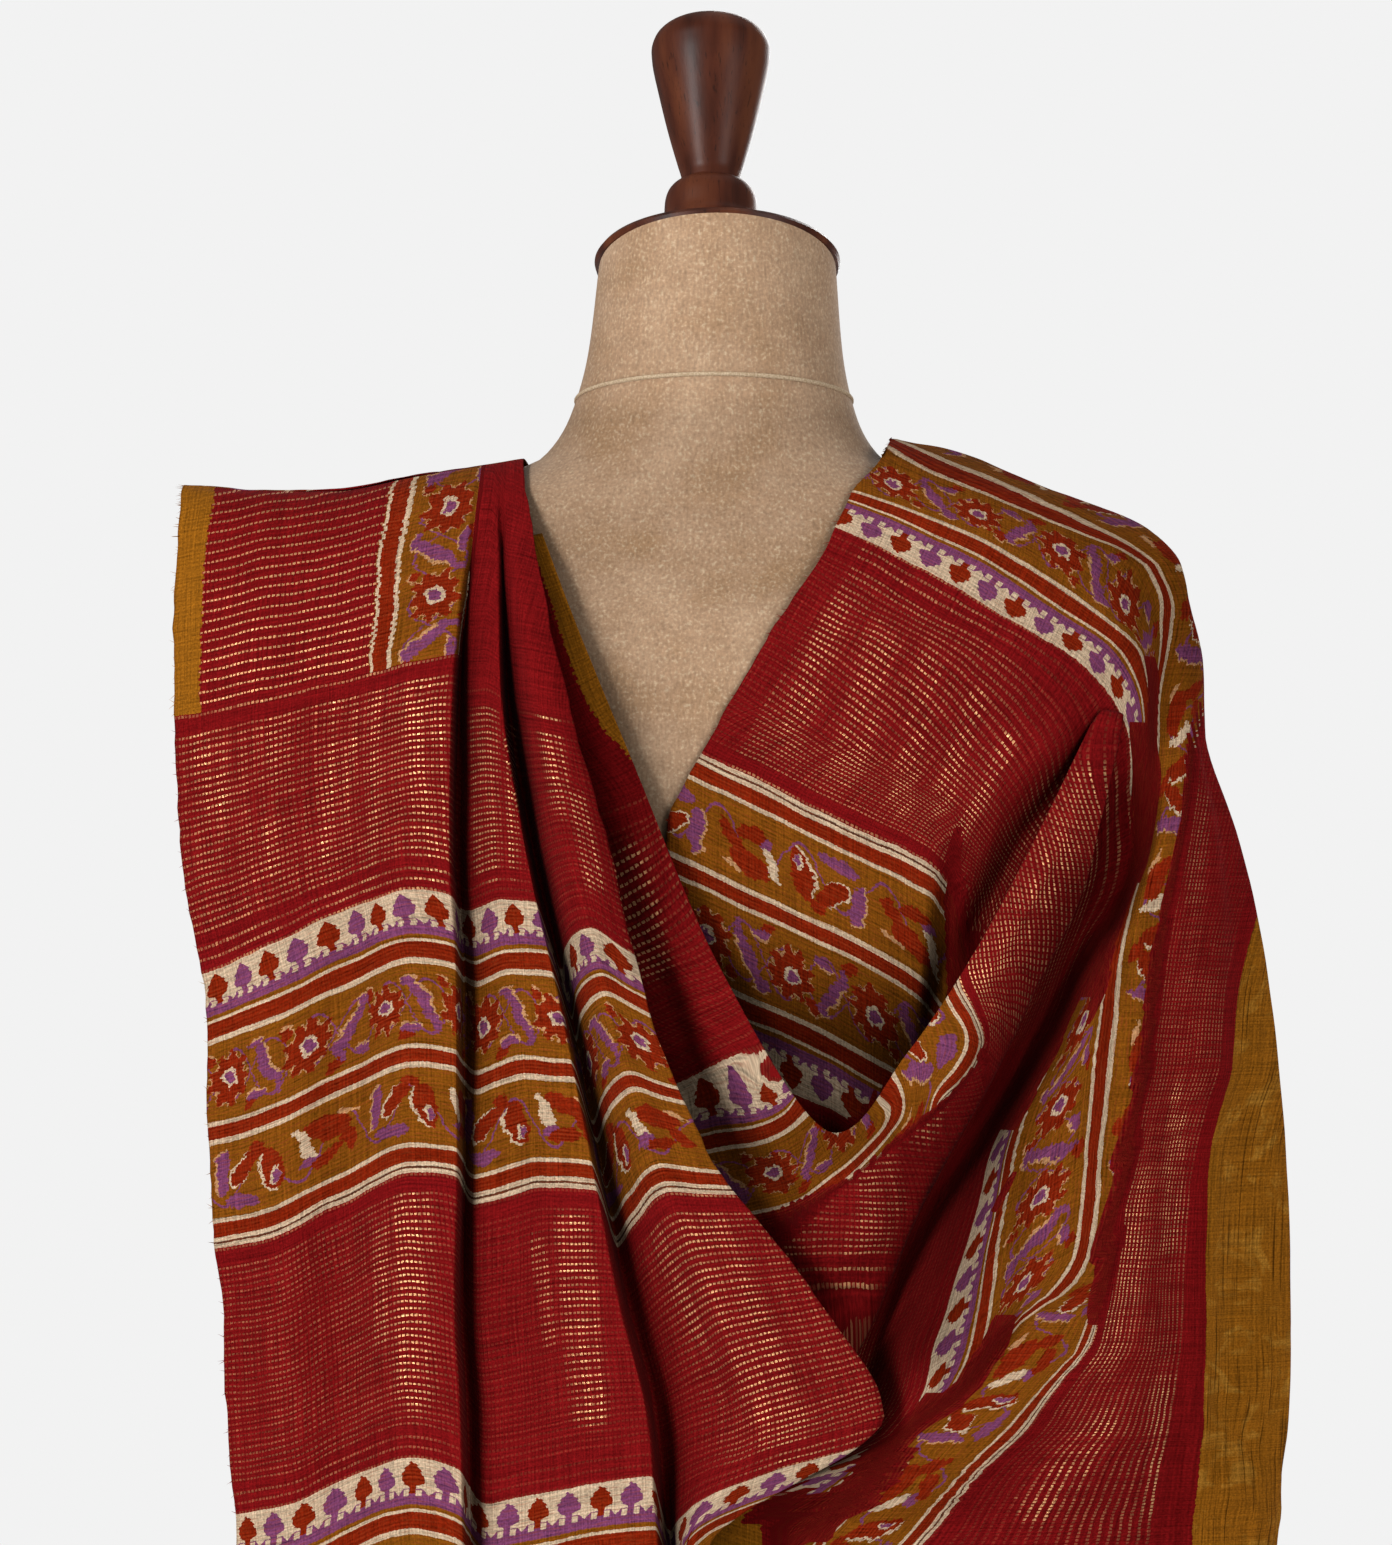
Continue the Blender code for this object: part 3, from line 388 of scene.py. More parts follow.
# Columns of cloth where the gold catches the light, as paths in the photograph; wide weak ones lie
# under the narrow ones
GOLD_GLINTS = table("width strength path", [
    (62, 0.4, [(300, 690), (300, 880)]), (62, 0.15, [(310, 1200), (310, 1400)]),
    (76, 0.3, [(862, 600), (822, 780)]), (42, 0.2, [(1150, 1000), (1130, 1500)]),
    (26, 0.4, [(1080, 820), (980, 980)]), (40, 0.3, [(740, 1230), (800, 1400)]),
    (10, 1.0, [(428, 690), (430, 868)]), (5, 1.0, [(268, 705), (272, 868)]),
    (9, 1.0, [(206, 745), (222, 800)]), (2.5, 1.0, [(336, 690), (328, 860)]),
    (3, 1.0, [(380, 690), (372, 880)]), (2, 1.0, [(357, 700), (350, 800)]),
    (9, 1.0, [(414, 1205), (418, 1385)]), (3, 1.0, [(384, 1230), (384, 1330)]),
    (6, 1.0, [(486, 720), (490, 866)]), (2.5, 1.0, [(512, 730), (516, 866)]),
    (8, 1.0, [(574, 1226), (592, 1400)]), (3, 1.0, [(540, 1240), (552, 1330)]),
    (5, 1.0, [(549, 720), (562, 800)]), (4, 1.0, [(578, 800), (596, 880)]),
    (8, 1.0, [(632, 860), (652, 958)]), (13, 1.0, [(702, 1222), (790, 1430)]),
    (4, 1.0, [(660, 1230), (700, 1330)]), (7, 1.0, [(834, 612), (792, 740)]),
    (9, 1.0, [(880, 640), (844, 770)]), (6, 1.0, [(928, 668), (900, 800)]),
    (6, 1.0, [(770, 650), (742, 716)]), (5, 1.0, [(975, 700), (940, 800)]),
    (9, 1.0, [(1092, 780), (1044, 880), (986, 962), (936, 1006)]), (4, 1.0, [(1010, 740), (960, 830)]),
    (10, 0.6, [(868, 1140), (880, 1200), (846, 1290)]), (6, 1.0, [(942, 1060), (920, 1130)]),
    (9, 1.0, [(1132, 1190), (1116, 1290), (1100, 1350)]), (4, 1.0, [(1176, 1090), (1168, 1240)]),
    (8, 1.0, [(1100, 1420), (1040, 1500)]), (5, 1.0, [(1160, 1380), (1150, 1500)]),
    (5, 0.4, [(1200, 800), (1196, 900)]),
])

# Hollows that the folds keep the light out of, as paths in the photograph
DUSK = {
    "silk_right_drape": table("width strength path", [
        (32, 0.74, [(700, 985), (800, 1035), (930, 1045)]),
        (9, 0.4, [(950, 860), (925, 960), (900, 1060)]),
        (24, 0.26, [(900, 436), (1010, 476), (1110, 536), (1180, 640)]),
        (17, 0.55, [(1112, 800), (1060, 940), (1000, 1120), (930, 1340)]),
    ]),
    "silk_swag": table("width strength path", [
        (20, 0.55, [(1080, 900), (1040, 1010), (1000, 1120), (950, 1250), (925, 1340)]),
        (20, 0.4, [(690, 1090), (760, 1140), (870, 1130)]),
    ]),
    "silk_fall": table("width strength path", [
        (6, 0.4, [(560, 620), (600, 800), (640, 960)]),
    ]),
}

# Light lost where a fold swallows part of a border, and the width beside the nape's selvedge without gold
TUCK_SHADE = 0.3
NAPE_MARGIN = 15.0

# Stripes of a border, in order along the sari: width in millimetres and colour
BORDER_STRIPES = [
    (15.3, "cream"), (4.5, "purple"), (1.8, "ochre"), (1.8, "cream"), (7.6, "rust"), (2.2, "cream"),
    (36.0, "ochre"), (2.1, "cream"), (6.2, "rust"), (2.4, "cream"), (34.6, "ochre"), (1.8, "cream"),
    (6.6, "rust"), (2.1, "cream"), (0.6, "shadow"), (2.4, "cream"),
]
PALETTE = dict(red="771113", cream="D0B698", rust="82210A", ochre="824B10", purple="7C4168",
               shadow="5A3526", gold="F4B680", mustard="925A15", outline="C08E62", slub="4A2A08",
               warp="6A2C14", crinkle_sheen_tint="B27F30")

SILK_NAME = "hand-woven tussar silk with gold weft"

# Shapes of one repeat of each figured band: middle, half size and turn, with x along the stripe
FLOWER_REPEAT = 40.0
FLOWER_SHAPES = table("name colour at size turn", [
    ("corner bud outline", "outline", (-18.6, 40.3), (3.4, 3.3), 20),
    ("corner bud", "rust", (-18.9, 40.9), (3.3, 2.9), 20),
    ("low bud", "rust", (3.4, 65.6), (3.9, 2.3), -25),
])
FEATHER_MIDDLE = 12.0
FEATHER_SHAPES = table("name colour at size turn", [
    ("feather outline", "outline", (13.0, 49.6), (13.0, 3.0), 58),
    ("feather", "purple", (12.2, 50.2), (12.6, 2.7), 58),
    ("feather barb outline", "outline", (6.6, 40.0), (4.4, 2.1), -12),
    ("feather barb", "purple", (6.2, 40.6), (4.1, 1.8), -12),
    ("sprig leaf outline", "outline", (7.4, 62.0), (5.2, 2.3), -8),
    ("sprig leaf", "purple", (7.2, 62.6), (4.8, 1.9), -8),
    ("sprig side leaf", "purple", (18.6, 60.4), (1.7, 4.4), 14),
])
LEAF_REPEAT = 78.0
LEAF_SHAPES = table("name colour at size turn", [
    ("stem leaf outline", "outline", (-32.0, 93.6), (10.6, 3.5), 98),
    ("stem leaf", "purple", (-31.2, 93.8), (10.2, 3.2), 98),
    ("lying leaf", "purple", (-21.4, 108.0), (9.6, 2.8), 6),
    ("long leaf outline", "cream", (-20.4, 94.2), (9.6, 4.6), -40),
    ("long leaf", "rust", (-19.4, 93.8), (9.3, 4.1), -40),
    ("tulip outline", "cream", (-5.2, 97.6), (10.8, 5.4), 72),
    ("tulip", "rust", (-4.2, 97.2), (10.6, 5.0), 72),
    ("tulip eye ring", "cream", (-2.6, 101.0), (3.9, 2.2), 80),
    ("tulip eye", "purple", (-2.0, 101.2), (3.1, 1.5), 80),
    ("beaded leaf", "cream", (11.0, 95.6), (10.0, 2.9), 64),
    ("beaded leaf eye", "purple", (13.0, 102.6), (4.4, 2.1), -12),
    ("broad leaf", "rust", (21.4, 90.8), (10.4, 4.9), 12),
    ("low leaf", "rust", (20.2, 103.6), (7.2, 3.2), -16),
    ("tip leaf", "rust", (30.6, 99.6), (6.6, 3.6), 52),
    ("tip fleck", "outline", (30.4, 87.6), (5.2, 1.1), 14),
    ("side leaf", "rust", (-11.6, 86.0), (5.0, 2.4), 24),
])
ROSETTE = dict(at=(-8.0, 51.3), petals=9, radius=10.3, wave=1.9, ring=(2.9, 4.2), rim=0.9)
VINES = table("name middle swing phase half", [
    ("flower vine", 52.0, 12.5, 2.3, 0.7),
    ("second flower vine", 50.5, 10.5, -0.7, 0.55),
    ("leaf vine", 98.5, 11.0, 0.4, 0.7),
])
# The body's border: where its depth is counted from, in from the edge, and the part of it that is woven
BODY_BORDER_SHIFT = 74.4
BODY_BORDER_BAND = (21.6, 80.0)

# Ochre strip along the body's selvedges, reach of the body's gold rows, and spacing of the weft's ribs
SELVEDGE_STRIP = 15.0
SPARSE_GOLD_REACH = 98.0
RIB_PITCH = 1.7

# Buds of the border's first stripe: spacing, and half width at each height
BUD_PITCH = 14.8
BUD_PROFILE = [(0.0, 0.0), (1.4, 0.0), (2.6, 1.4), (4.6, 3.6), (7.0, 5.0), (9.2, 5.5), (11.0, 4.6),
               (11.9, 1.8), (13.6, 1.3), (15.3, 1.8)]

# Height of one row of figured weft
ROW_HEIGHT = 1.2


def from_photo(column, row):
    """Place on the drape of a point of the photograph: across and up, in millimetres."""
    return (column - PHOTO_MIDDLE) * PHOTO_PIXEL, PHOTO_TOP - row * PHOTO_PIXEL


def linear(code):
    """Turn an sRGB hex code into a linear colour."""
    channels = [int(code[i:i + 2], 16) / 255.0 for i in (0, 2, 4)]
    return tuple(c / 12.92 if c <= 0.04045 else ((c + 0.055) / 1.055) ** 2.4 for c in channels)


def rgba(code):
    return (*linear(code), 1.0)


def dye(name):
    """Linear colour of one of the sari's dyes and threads, or of the tint of its painted sheen."""
    return rgba(PALETTE[name])


def eased(keys, values, at):
    """Read a smooth curve through (key, value) pairs that never overshoots a pair."""
    keys = np.asarray(keys, float)
    values = np.asarray(values, float)
    if keys[0] > keys[-1]:
        keys = keys[::-1]
        values = values[::-1]
    at = np.clip(at, keys[0], keys[-1])
    spans = np.diff(keys)
    slopes = np.diff(values) / spans
    same = slopes[:-1] * slopes[1:] > 0.0
    total = np.where(same, slopes[:-1] + slopes[1:], 1.0)
    middle = np.where(same, 2.0 * slopes[:-1] * slopes[1:] / total, 0.0)
    tangents = np.concatenate([slopes[:1], middle, slopes[-1:]])
    i = np.clip(np.searchsorted(keys, at, side="right") - 1, 0, len(spans) - 1)
    t = (at - keys[i]) / spans[i]
    start = (1.0 + 2.0 * t) * (1.0 - t) ** 2 * values[i] + t * (1.0 - t) ** 2 * spans[i] * tangents[i]
    end = t * t * (3.0 - 2.0 * t) * values[i + 1] - t * t * (1.0 - t) * spans[i] * tangents[i + 1]
    return start + end


def column(rows, name):
    return [row[name] for row in rows]


def read(rows, name, at):
    """Read a column of a table smoothly, at a value of its first column."""
    key = next(iter(rows[0]))
    return eased(column(rows, key), column(rows, name), at)


def read_row(rows, at):
    """Read every number of a table smoothly, at a value of its first column."""
    return {name: read(rows, name, at) for name in rows[0] if name != "name"}


def step_along(values, v):
    """Read a list that is written from the top (v = 1) down to the foot (v = 0)."""
    last = len(values) - 1
    return eased(range(last + 1), values, (1.0 - v) * last)


def bow(across, reach):
    """How much of its full depth a girth still has at a distance across it."""
    share = np.minimum(np.abs(across) / reach, 1.0)
    return np.sqrt(1.0 - share * share)


def run_along(points):
    """Distance along each row of points from its first point, in millimetres."""
    steps = np.linalg.norm(np.diff(points, axis=1), axis=2)
    return np.concatenate([np.zeros((len(points), 1)), np.cumsum(steps, axis=1)], axis=1)


def through_pins(pins, values, spots):
    """A thin-plate surface through the pins' values, read at the spots."""
    def spread(first, second):
        square = ((first[:, None, :] - second[None, :, :]) ** 2).sum(axis=2) / 1.0e4
        return 0.5 * square * np.log(np.maximum(square, 1e-12))

    count = len(pins)
    plane = np.hstack([np.ones((count, 1)), pins / 100.0])
    system = np.zeros((count + 3, count + 3))
    system[:count, :count] = spread(pins, pins) + 1e-3 * np.eye(count)
    system[:count, count:] = plane
    system[count:, :count] = plane.T
    weights = np.linalg.solve(system, np.concatenate([values, np.zeros(3)]))
    ground = np.hstack([np.ones((len(spots), 1)), spots / 100.0])
    return spread(spots, pins) @ weights[:count] + ground @ weights[count:]


def back_depth(across, height):
    """Distance behind the drape line of the cloth that lies nearest the back."""
    right = read(RIGHT_GIRTHS, "reach", height)
    left = read(RIGHT_GIRTHS, "left_reach", height)
    return read(RIGHT_GIRTHS, "back", height) * bow(across, np.where(across > 0.0, right, left))


def grid_normals(points):
    """Outward normals of a grid of points whose columns run across and whose rows run up."""
    across = np.gradient(points, axis=1)
    up = np.gradient(points, axis=0)
    normals = np.cross(across, up)
    return normals / np.maximum(np.linalg.norm(normals, axis=2, keepdims=True), 1e-9)


def near_path(points, stops):
    """Distance of each point from a path in the photograph, and how far along the path it lies."""
    path = np.array([from_photo(*stop) for stop in stops])
    place = points[:, :, [0, 2]]
    nearest = np.full(points.shape[:2], 1e9)
    share = np.zeros(points.shape[:2])
    for i, (start, end) in enumerate(zip(path, path[1:])):
        leg = end - start
        along = np.clip(((place - start) @ leg) / (leg @ leg), 0.0, 1.0)
        away = np.linalg.norm(place - start - along[:, :, None] * leg, axis=2)
        share = np.where(away < nearest, (i + along) / (len(path) - 1), share)
        nearest = np.minimum(nearest, away)
    return nearest, share


def crease(points, creases):
    """Press the listed creases into a grid of points, along its normals."""
    push = np.zeros(points.shape[:2])
    for fold in creases:
        nearest, share = near_path(points, fold["path"])
        fade = np.sin(np.pi * np.clip(share, 0.02, 0.98)) ** 0.6
        fade = np.where(points[:, :, 1] < PHOTO_SIDE, fade, 0.0)
        push += fold["depth"] * fade * np.exp(-(nearest / fold["width"]) ** 2)
    return points + grid_normals(points) * push[:, :, None]


def glints(points):
    """How bright the painted highlight on the gold is at each point: as listed where it is photographed,
    soft elsewhere.
    """
    total = np.zeros(points.shape[:2])
    for glint in GOLD_GLINTS:
        nearest, _ = near_path(points, glint["path"])
        total = np.maximum(total, glint["strength"] * np.exp(-(nearest / glint["width"]) ** 6))
    return np.where(points[:, :, 1] < PHOTO_SIDE, total, 0.25)


def dusk(name, points):
    """How much light the folds keep from each point, from the paths given for that piece."""
    total = np.zeros(points.shape[:2])
    for hollow in DUSK.get(name, []):
        nearest, _ = near_path(points, hollow["path"])
        total = np.maximum(total, hollow["strength"] * np.exp(-(nearest / hollow["width"]) ** 2))
    return np.where(points[:, :, 1] < PHOTO_SIDE, total, 0.0)


def tucked(points, weave):
    """Mark the lines where a fold swallows part of the border, for plain cloth to show there."""
    walked = np.linalg.norm(np.diff(points, axis=1), axis=2)
    woven = np.abs(np.diff(weave[:, :, 1], axis=1))
    lost = woven > 3.0 * np.maximum(walked, 0.2)
    marked = np.zeros(points.shape[:2])
    marked[:, 1:][lost] = 1.0
    marked[:, :-1][lost] = 1.0

    # Widen the mark along the fold, then soften it, so that its edge runs on from row to row
    for weights in (None, (0.25, 0.5, 0.25)):
        padded = np.pad(marked, ((1, 1), (0, 0)), mode="edge")
        near = [padded[:-2], padded[1:-1], padded[2:]]
        if weights is None:
            marked = np.maximum.reduce(near)
        else:
            marked = sum(weight * part for weight, part in zip(weights, near))
    return np.where(points[:, :, 1] < PHOTO_SIDE, marked, 0.0)


def ruffle(points, strength):
    """Add the small uneven swells of soft cloth, the same on every run."""
    push = np.zeros(points.shape[:2])
    for (j, i), _ in np.ndenumerate(push):
        x, y, z = points[j, i]
        slow = noise.noise(Vector((x / 34.0, y / 34.0, z / 90.0)))
        quick = noise.noise(Vector((x / 11.0 + 7.0, y / 11.0, z / 24.0)))
        push[j, i] = slow * 1.5 + quick * 0.45
    return points + grid_normals(points) * push[:, :, None] * strength


def long_folds(points, folds):
    """Raise soft folds that run the whole length of a sheet and die out at its top."""
    rows, columns = points.shape[:2]
    v = np.linspace(0.0, 1.0, rows)[:, None]
    u = np.linspace(0.0, 1.0, columns)[None, :]
    push = np.zeros((rows, columns))
    for foot, top, height, width in folds:
        push += height * np.exp(-((u - foot - (top - foot) * v) / width) ** 2)
    push *= np.clip((1.0 - v) * 2.5, 0.0, 1.0)
    return points + grid_normals(points) * push[:, :, None]


def wander(points):
    """Let both side edges of a sheet stray by about a millimetre, as a hand-woven selvedge does."""
    moved = points.copy()
    for edge, step in ((0, 1), (-1, -1)):
        for j, row in enumerate(points):
            out = row[edge] - row[edge + step]
            out = out / max(np.linalg.norm(out), 0.001)
            level = row[edge, 2]
            stray = noise.noise(Vector((level / 9.0, edge * 5.0, 1.0))) * 0.9
            stray += noise.noise(Vector((level / 31.0, edge * 5.0, 8.0))) * 1.6
            for k in range(4):
                moved[j, edge + step * k] += out * stray * (1.0 - k / 4.0)
    return moved


def hang(points, strength):
    """Add the long soft vertical swells of a hanging skirt, none of them at its waist."""
    push = np.zeros(points.shape[:2])
    for (j, i), _ in np.ndenumerate(push):
        x, y, z = points[j, i]
        slow = noise.noise(Vector((x / 42.0, y / 42.0, z / 420.0)))
        quick = noise.noise(Vector((x / 15.0 + 5.0, y / 15.0, z / 160.0)))
        push[j, i] = (slow * 9.0 + quick * 2.2) * min(max((960.0 - z) / 420.0, 0.0), 1.0)
        if y > 0.0:
            push[j, i] *= min(max((abs(x) - 110.0) / 70.0, 0.06), 1.0)
    return points + grid_normals(points) * push[:, :, None] * strength


def add_object(name, shape, material, replaced, smooth=True, sharp=None):
    """Make an object of a finished shape; edges sharper than an angle in degrees stay sharp."""
    mesh = bpy.data.meshes.new(name)
    shape.to_mesh(mesh)
    shape.free()
    if smooth:
        mesh.shade_smooth()
    if sharp:
        mesh.set_sharp_from_angle(angle=math.radians(sharp))
    thing = bpy.data.objects.new(name, mesh)
    bpy.context.scene.collection.objects.link(thing)
    mesh.materials.append(material)
    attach(thing, "root")
    if replaced:
        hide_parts(replaced)
    return thing


def lay_grid(shape, points):
    """Lay a grid of faces over rows of points, and say which row and column each vertex has."""
    rows, columns = points.shape[0] - 1, points.shape[1] - 1
    bmesh.ops.create_grid(shape, x_segments=columns, y_segments=rows, size=1.0)
    cell = {}
    for vert in shape.verts:
        i = round((vert.co.x + 1.0) / 2.0 * columns)
        j = round((vert.co.y + 1.0) / 2.0 * rows)
        cell[vert] = (j, i)
        vert.co = Vector(points[j, i]) * MM
    return cell


def add_cloth(name, points, weave, settings, replaced, closed=False):
    """Lay a grid over the points, rows upwards, and give it its weave map, its marks and its wall."""
    # Marks of painted light: the glint is a painted highlight on the gold, the dusk a painted shade in
    # hollows and where a fold swallows a border
    shine = glints(points)
    if name == "silk_right_drape":
        shine *= np.clip((run_along(points) - NAPE_MARGIN) / 2.0, 0.0, 1.0)
    lost = tucked(points, weave)
    marks = {"glint": shine, "dusk": np.maximum(dusk(name, points), lost * TUCK_SHADE), "tuck": lost}
    shape = bmesh.new()
    weave_map = shape.loops.layers.uv.new("weave")
    layers = {mark: shape.verts.layers.float.new(mark) for mark in marks}
    cell = lay_grid(shape, points)
    for vert, place in cell.items():
        for mark, layer in layers.items():
            vert[layer] = marks[mark][place]
    for face in shape.faces:
        for loop in face.loops:
            loop[weave_map].uv = Vector(weave[cell[loop.vert]]) * MM
    if closed:
        bmesh.ops.remove_doubles(shape, verts=shape.verts, dist=0.0001)
    silk = bpy.data.materials.get(SILK_NAME) or woven_silk(settings)
    thing = add_object(name, shape, silk, replaced)
    thick = thing.modifiers.new("wall", "SOLIDIFY")
    thick.thickness = settings.wall
    thick.offset = -1.0
    return thing


def add_threads(name, points, weave, seed, count):
    """Short weft ends that stand out of the selvedge at the grid's first column."""
    maker = random.Random(seed)
    shape = bmesh.new()
    weave_map = shape.loops.layers.uv.new("weave")
    for _ in range(count):
        j = maker.randrange(1, points.shape[0] - 1)
        root = Vector(points[j, 0].tolist())
        out = (root - Vector(points[j, 1].tolist())).normalized()
        rise = Vector((points[j + 1, 0] - points[j, 0]).tolist()).normalized()
        tip = root + out * maker.uniform(0.6, 3.4) + rise * maker.uniform(-3.0, 2.0)
        side = rise * maker.uniform(0.16, 0.3)
        corners = [root - out - side, root - out + side, tip]
        lift = out.cross(rise).normalized() * 0.25
        ends = [shape.verts.new(corner * MM) for corner in corners]
        back = shape.verts.new((root - out + lift) * MM)
        for face in ((ends[0], ends[1], ends[2]), (ends[1], back, ends[2]), (back, ends[0], ends[2])):
            for loop in shape.faces.new(face).loops:
                loop[weave_map].uv = Vector(weave[j, 0].tolist()) * MM
    return add_object(name, shape, bpy.data.materials[SILK_NAME], None, smooth=False)


def right_points(columns, rows):
    """The end stretch: a part-girth at each height, from the nape edge round to the front edge."""
    us = np.linspace(0.0, 1.0, columns + 1)
    grid = []
    for v in np.linspace(0.0, 1.0, rows + 1):
        level = step_along(RIGHT_LEVELS, v)
        girth = read_row(RIGHT_GIRTHS, level)
        fold = read_row(LIP_FOLD, level)
        reach = girth["reach"]
        nape = math.asin(girth["nape_edge"] / reach)
        open_end = math.pi - math.asin(girth["front_edge"] / reach)
        lip_x = min(fold["across"], 0.9 * reach)
        stand = fold["stand"]
        lip = max(math.asin(lip_x / reach), nape + 0.04)
        trough = max(math.asin((lip_x - fold["wall"]) / reach), nape + 0.02)
        side = math.pi / 2.0
        marks = [
            (0.0, nape, 0.0), (0.25, nape + (trough - nape) * 0.6, 0.0), (0.36, trough, 0.0),
            (0.44, lip, stand), (0.52, lip + (side - lip) * 0.35, stand * 0.85),
            (0.6, lip + (side - lip) * 0.62, stand * 0.35), (0.67, lip + (side - lip) * 0.84, stand * 0.4),
            (0.75, side, stand * 0.12), (0.83, side + (open_end - side) * 0.3, stand * 0.3),
            (0.92, side + (open_end - side) * 0.68, 0.0), (1.0, open_end, stand * 0.25),
        ]
        places = [mark[0] for mark in marks]
        turn = eased(places, [mark[1] for mark in marks], us)
        out = eased(places, [mark[2] for mark in marks], us)
        depth = np.where(turn < side, girth["back"], girth["front"])
        facing = np.stack([np.sin(turn) / reach, -np.cos(turn) / np.maximum(depth, 30.0)])
        facing = facing / np.linalg.norm(facing, axis=0)
        x = reach * np.sin(turn) + facing[0] * out
        y = DRAPE_Y - depth * np.cos(turn) + facing[1] * out
        low = max(0.0, (DRAPE_RISE_TOP - level) / DRAPE_RISE_SPAN)
        grid.append(np.stack([x, y, level + DRAPE_HEM_RISE * low * low * us ** 1.5], axis=1))
    return np.array(grid)


def right_weave(points):
    """Where each point of the right drape lies across the sari and along it."""
    names = [name for name in RIGHT_LINES[0] if name not in ("row", "cut")]
    heights = [from_photo(0, row["row"])[1] for row in RIGHT_LINES]
    depths = (0.0, BEAD_DEPTH, LACE_DEPTH, LEAF_DEPTH)
    marks = [FIRST_BORDER, FIRST_BORDER_END, *(SECOND_BORDER + depth for depth in depths), None,
             SECOND_BORDER_END + 1.0, END_PANEL]
    runs = {}
    for name in names:
        path = np.array([from_photo(row[name], row["row"]) for row in RIGHT_LINES])
        steps = np.concatenate([[0.0], np.cumsum(np.linalg.norm(np.diff(path, axis=0), axis=1))])
        nape = read(RIGHT_GIRTHS, "nape_edge", path[:, 1])
        crossing = int(np.argmax(path[:, 0] > nape)) if (path[:, 0] > nape).any() else 0
        runs[name] = steps - steps[crossing]
    for name in ("inner", "outer", "panel"):
        runs[name] = runs["leaf"]
    weave = np.zeros((*points.shape[:2], 2))
    side = points[:, :, 0].argmax(axis=1)
    walked = run_along(points)
    for j, row in enumerate(points):
        level = row[0, 2]
        stops = [(eased(heights, column(RIGHT_LINES, name), level) - PHOTO_MIDDLE) * PHOTO_PIXEL
                 for name in names]
        cut = eased(heights, column(RIGHT_LINES, "cut"), level)
        along = [cut if mark is None else mark for mark in marks]
        inward = [eased(heights, runs[name], level) for name in names]
        wrapped = np.where(np.arange(len(row)) <= side[j], row[:, 0],
                           row[side[j], 0] + walked[j] - walked[j, side[j]])
        stops.append(stops[-1] + PAST_LAST_LINE)
        along.append(along[-1] + PAST_LAST_LINE)
        inward.append(inward[-1])
        stops = np.maximum.accumulate(np.array(stops) + np.arange(len(stops)) * 0.01)
        weave[j, :, 0] = SARI_WIDTH - np.interp(wrapped, stops, inward)
        weave[j, :, 1] = np.interp(wrapped, stops, along)
    places = PHOTO_MIDDLE + points[:, :, 0] / PHOTO_PIXEL
    photo_rows = (PHOTO_TOP - points[:, :, 2]) / PHOTO_PIXEL
    last = np.interp(places, column(INNER_PANEL, "column"), column(INNER_PANEL, "last"))
    first = np.interp(places, column(INNER_PANEL, "column"), column(INNER_PANEL, "first"))
    lip = np.interp(photo_rows, column(SWAG_LIP, "row"), column(SWAG_LIP, "column"))
    inside = (photo_rows > last) & (places < lip + 20.0) & (np.arange(points.shape[1]) < side[:, None])
    hung = FIRST_BORDER_END - BORDER_WIDTH * (photo_rows - last) / (first - last)
    reached = (places - PHOTO_MIDDLE) * PHOTO_PIXEL * 1.08 - 20.0
    above = (last - photo_rows) * PHOTO_PIXEL
    near = (above > 0.0) & (above < PANEL_BLEND) & (places < lip) & (places < 1100.0)
    share = np.where(near, 1.0 - above / PANEL_BLEND, 0.0)
    weave[:, :, 1] += share * (FIRST_BORDER_END + above - weave[:, :, 1])
    weave[:, :, 0] += share * (SARI_WIDTH - reached - weave[:, :, 0])
    weave[:, :, 1] = np.where(inside, hung, weave[:, :, 1])
    weave[:, :, 0] = np.where(inside, SARI_WIDTH - reached, weave[:, :, 0])
    return weave


def fall_points(columns, rows):
    """The fall from the left shoulder: folds side by side, each hung from the ridge."""
    us = np.linspace(0.0, 1.0, columns + 1)
    heights = list(FALL_HEIGHTS.values())
    count = len(FALL_FOLDS) - 1
    steps = range(count + 1)
    grid = []
    for v in np.linspace(0.0, 1.0, rows + 1):
        drop = step_along(FALL_DROPS, v)
        level = FALL_HEIGHTS["ridge"] - drop
        xs = [eased(heights, [fold[name] for name in FALL_HEIGHTS], level) for fold in FALL_FOLDS]
        x = eased(steps, xs, us * count)
        grown = min(drop / 120.0, 1.0)
        fullness = grown * grown * (3.0 - 2.0 * grown)
        stand = eased(steps, column(FALL_FOLDS, "stand"), us * count) * fullness
        depth = read(FALL_DEPTHS, "depth", drop)
        ridge = read(FALL_RIDGE, "z", x)
        y = DRAPE_Y - depth * bow(x, LEFT_REACH) - stand - 2.0 * min(drop / 10.0, 1.0)
        low = max(0.0, (drop - FALL_RISE_DROP) / FALL_RISE_SPAN)
        z = ridge - drop * (ridge - FALL_FOOT) / (FALL_HEIGHTS["ridge"] - FALL_FOOT)
        grid.append(np.stack([x, y, z + FALL_HEM_RISE * low * low * (1.0 - us)], axis=1))
    return np.array(grid)


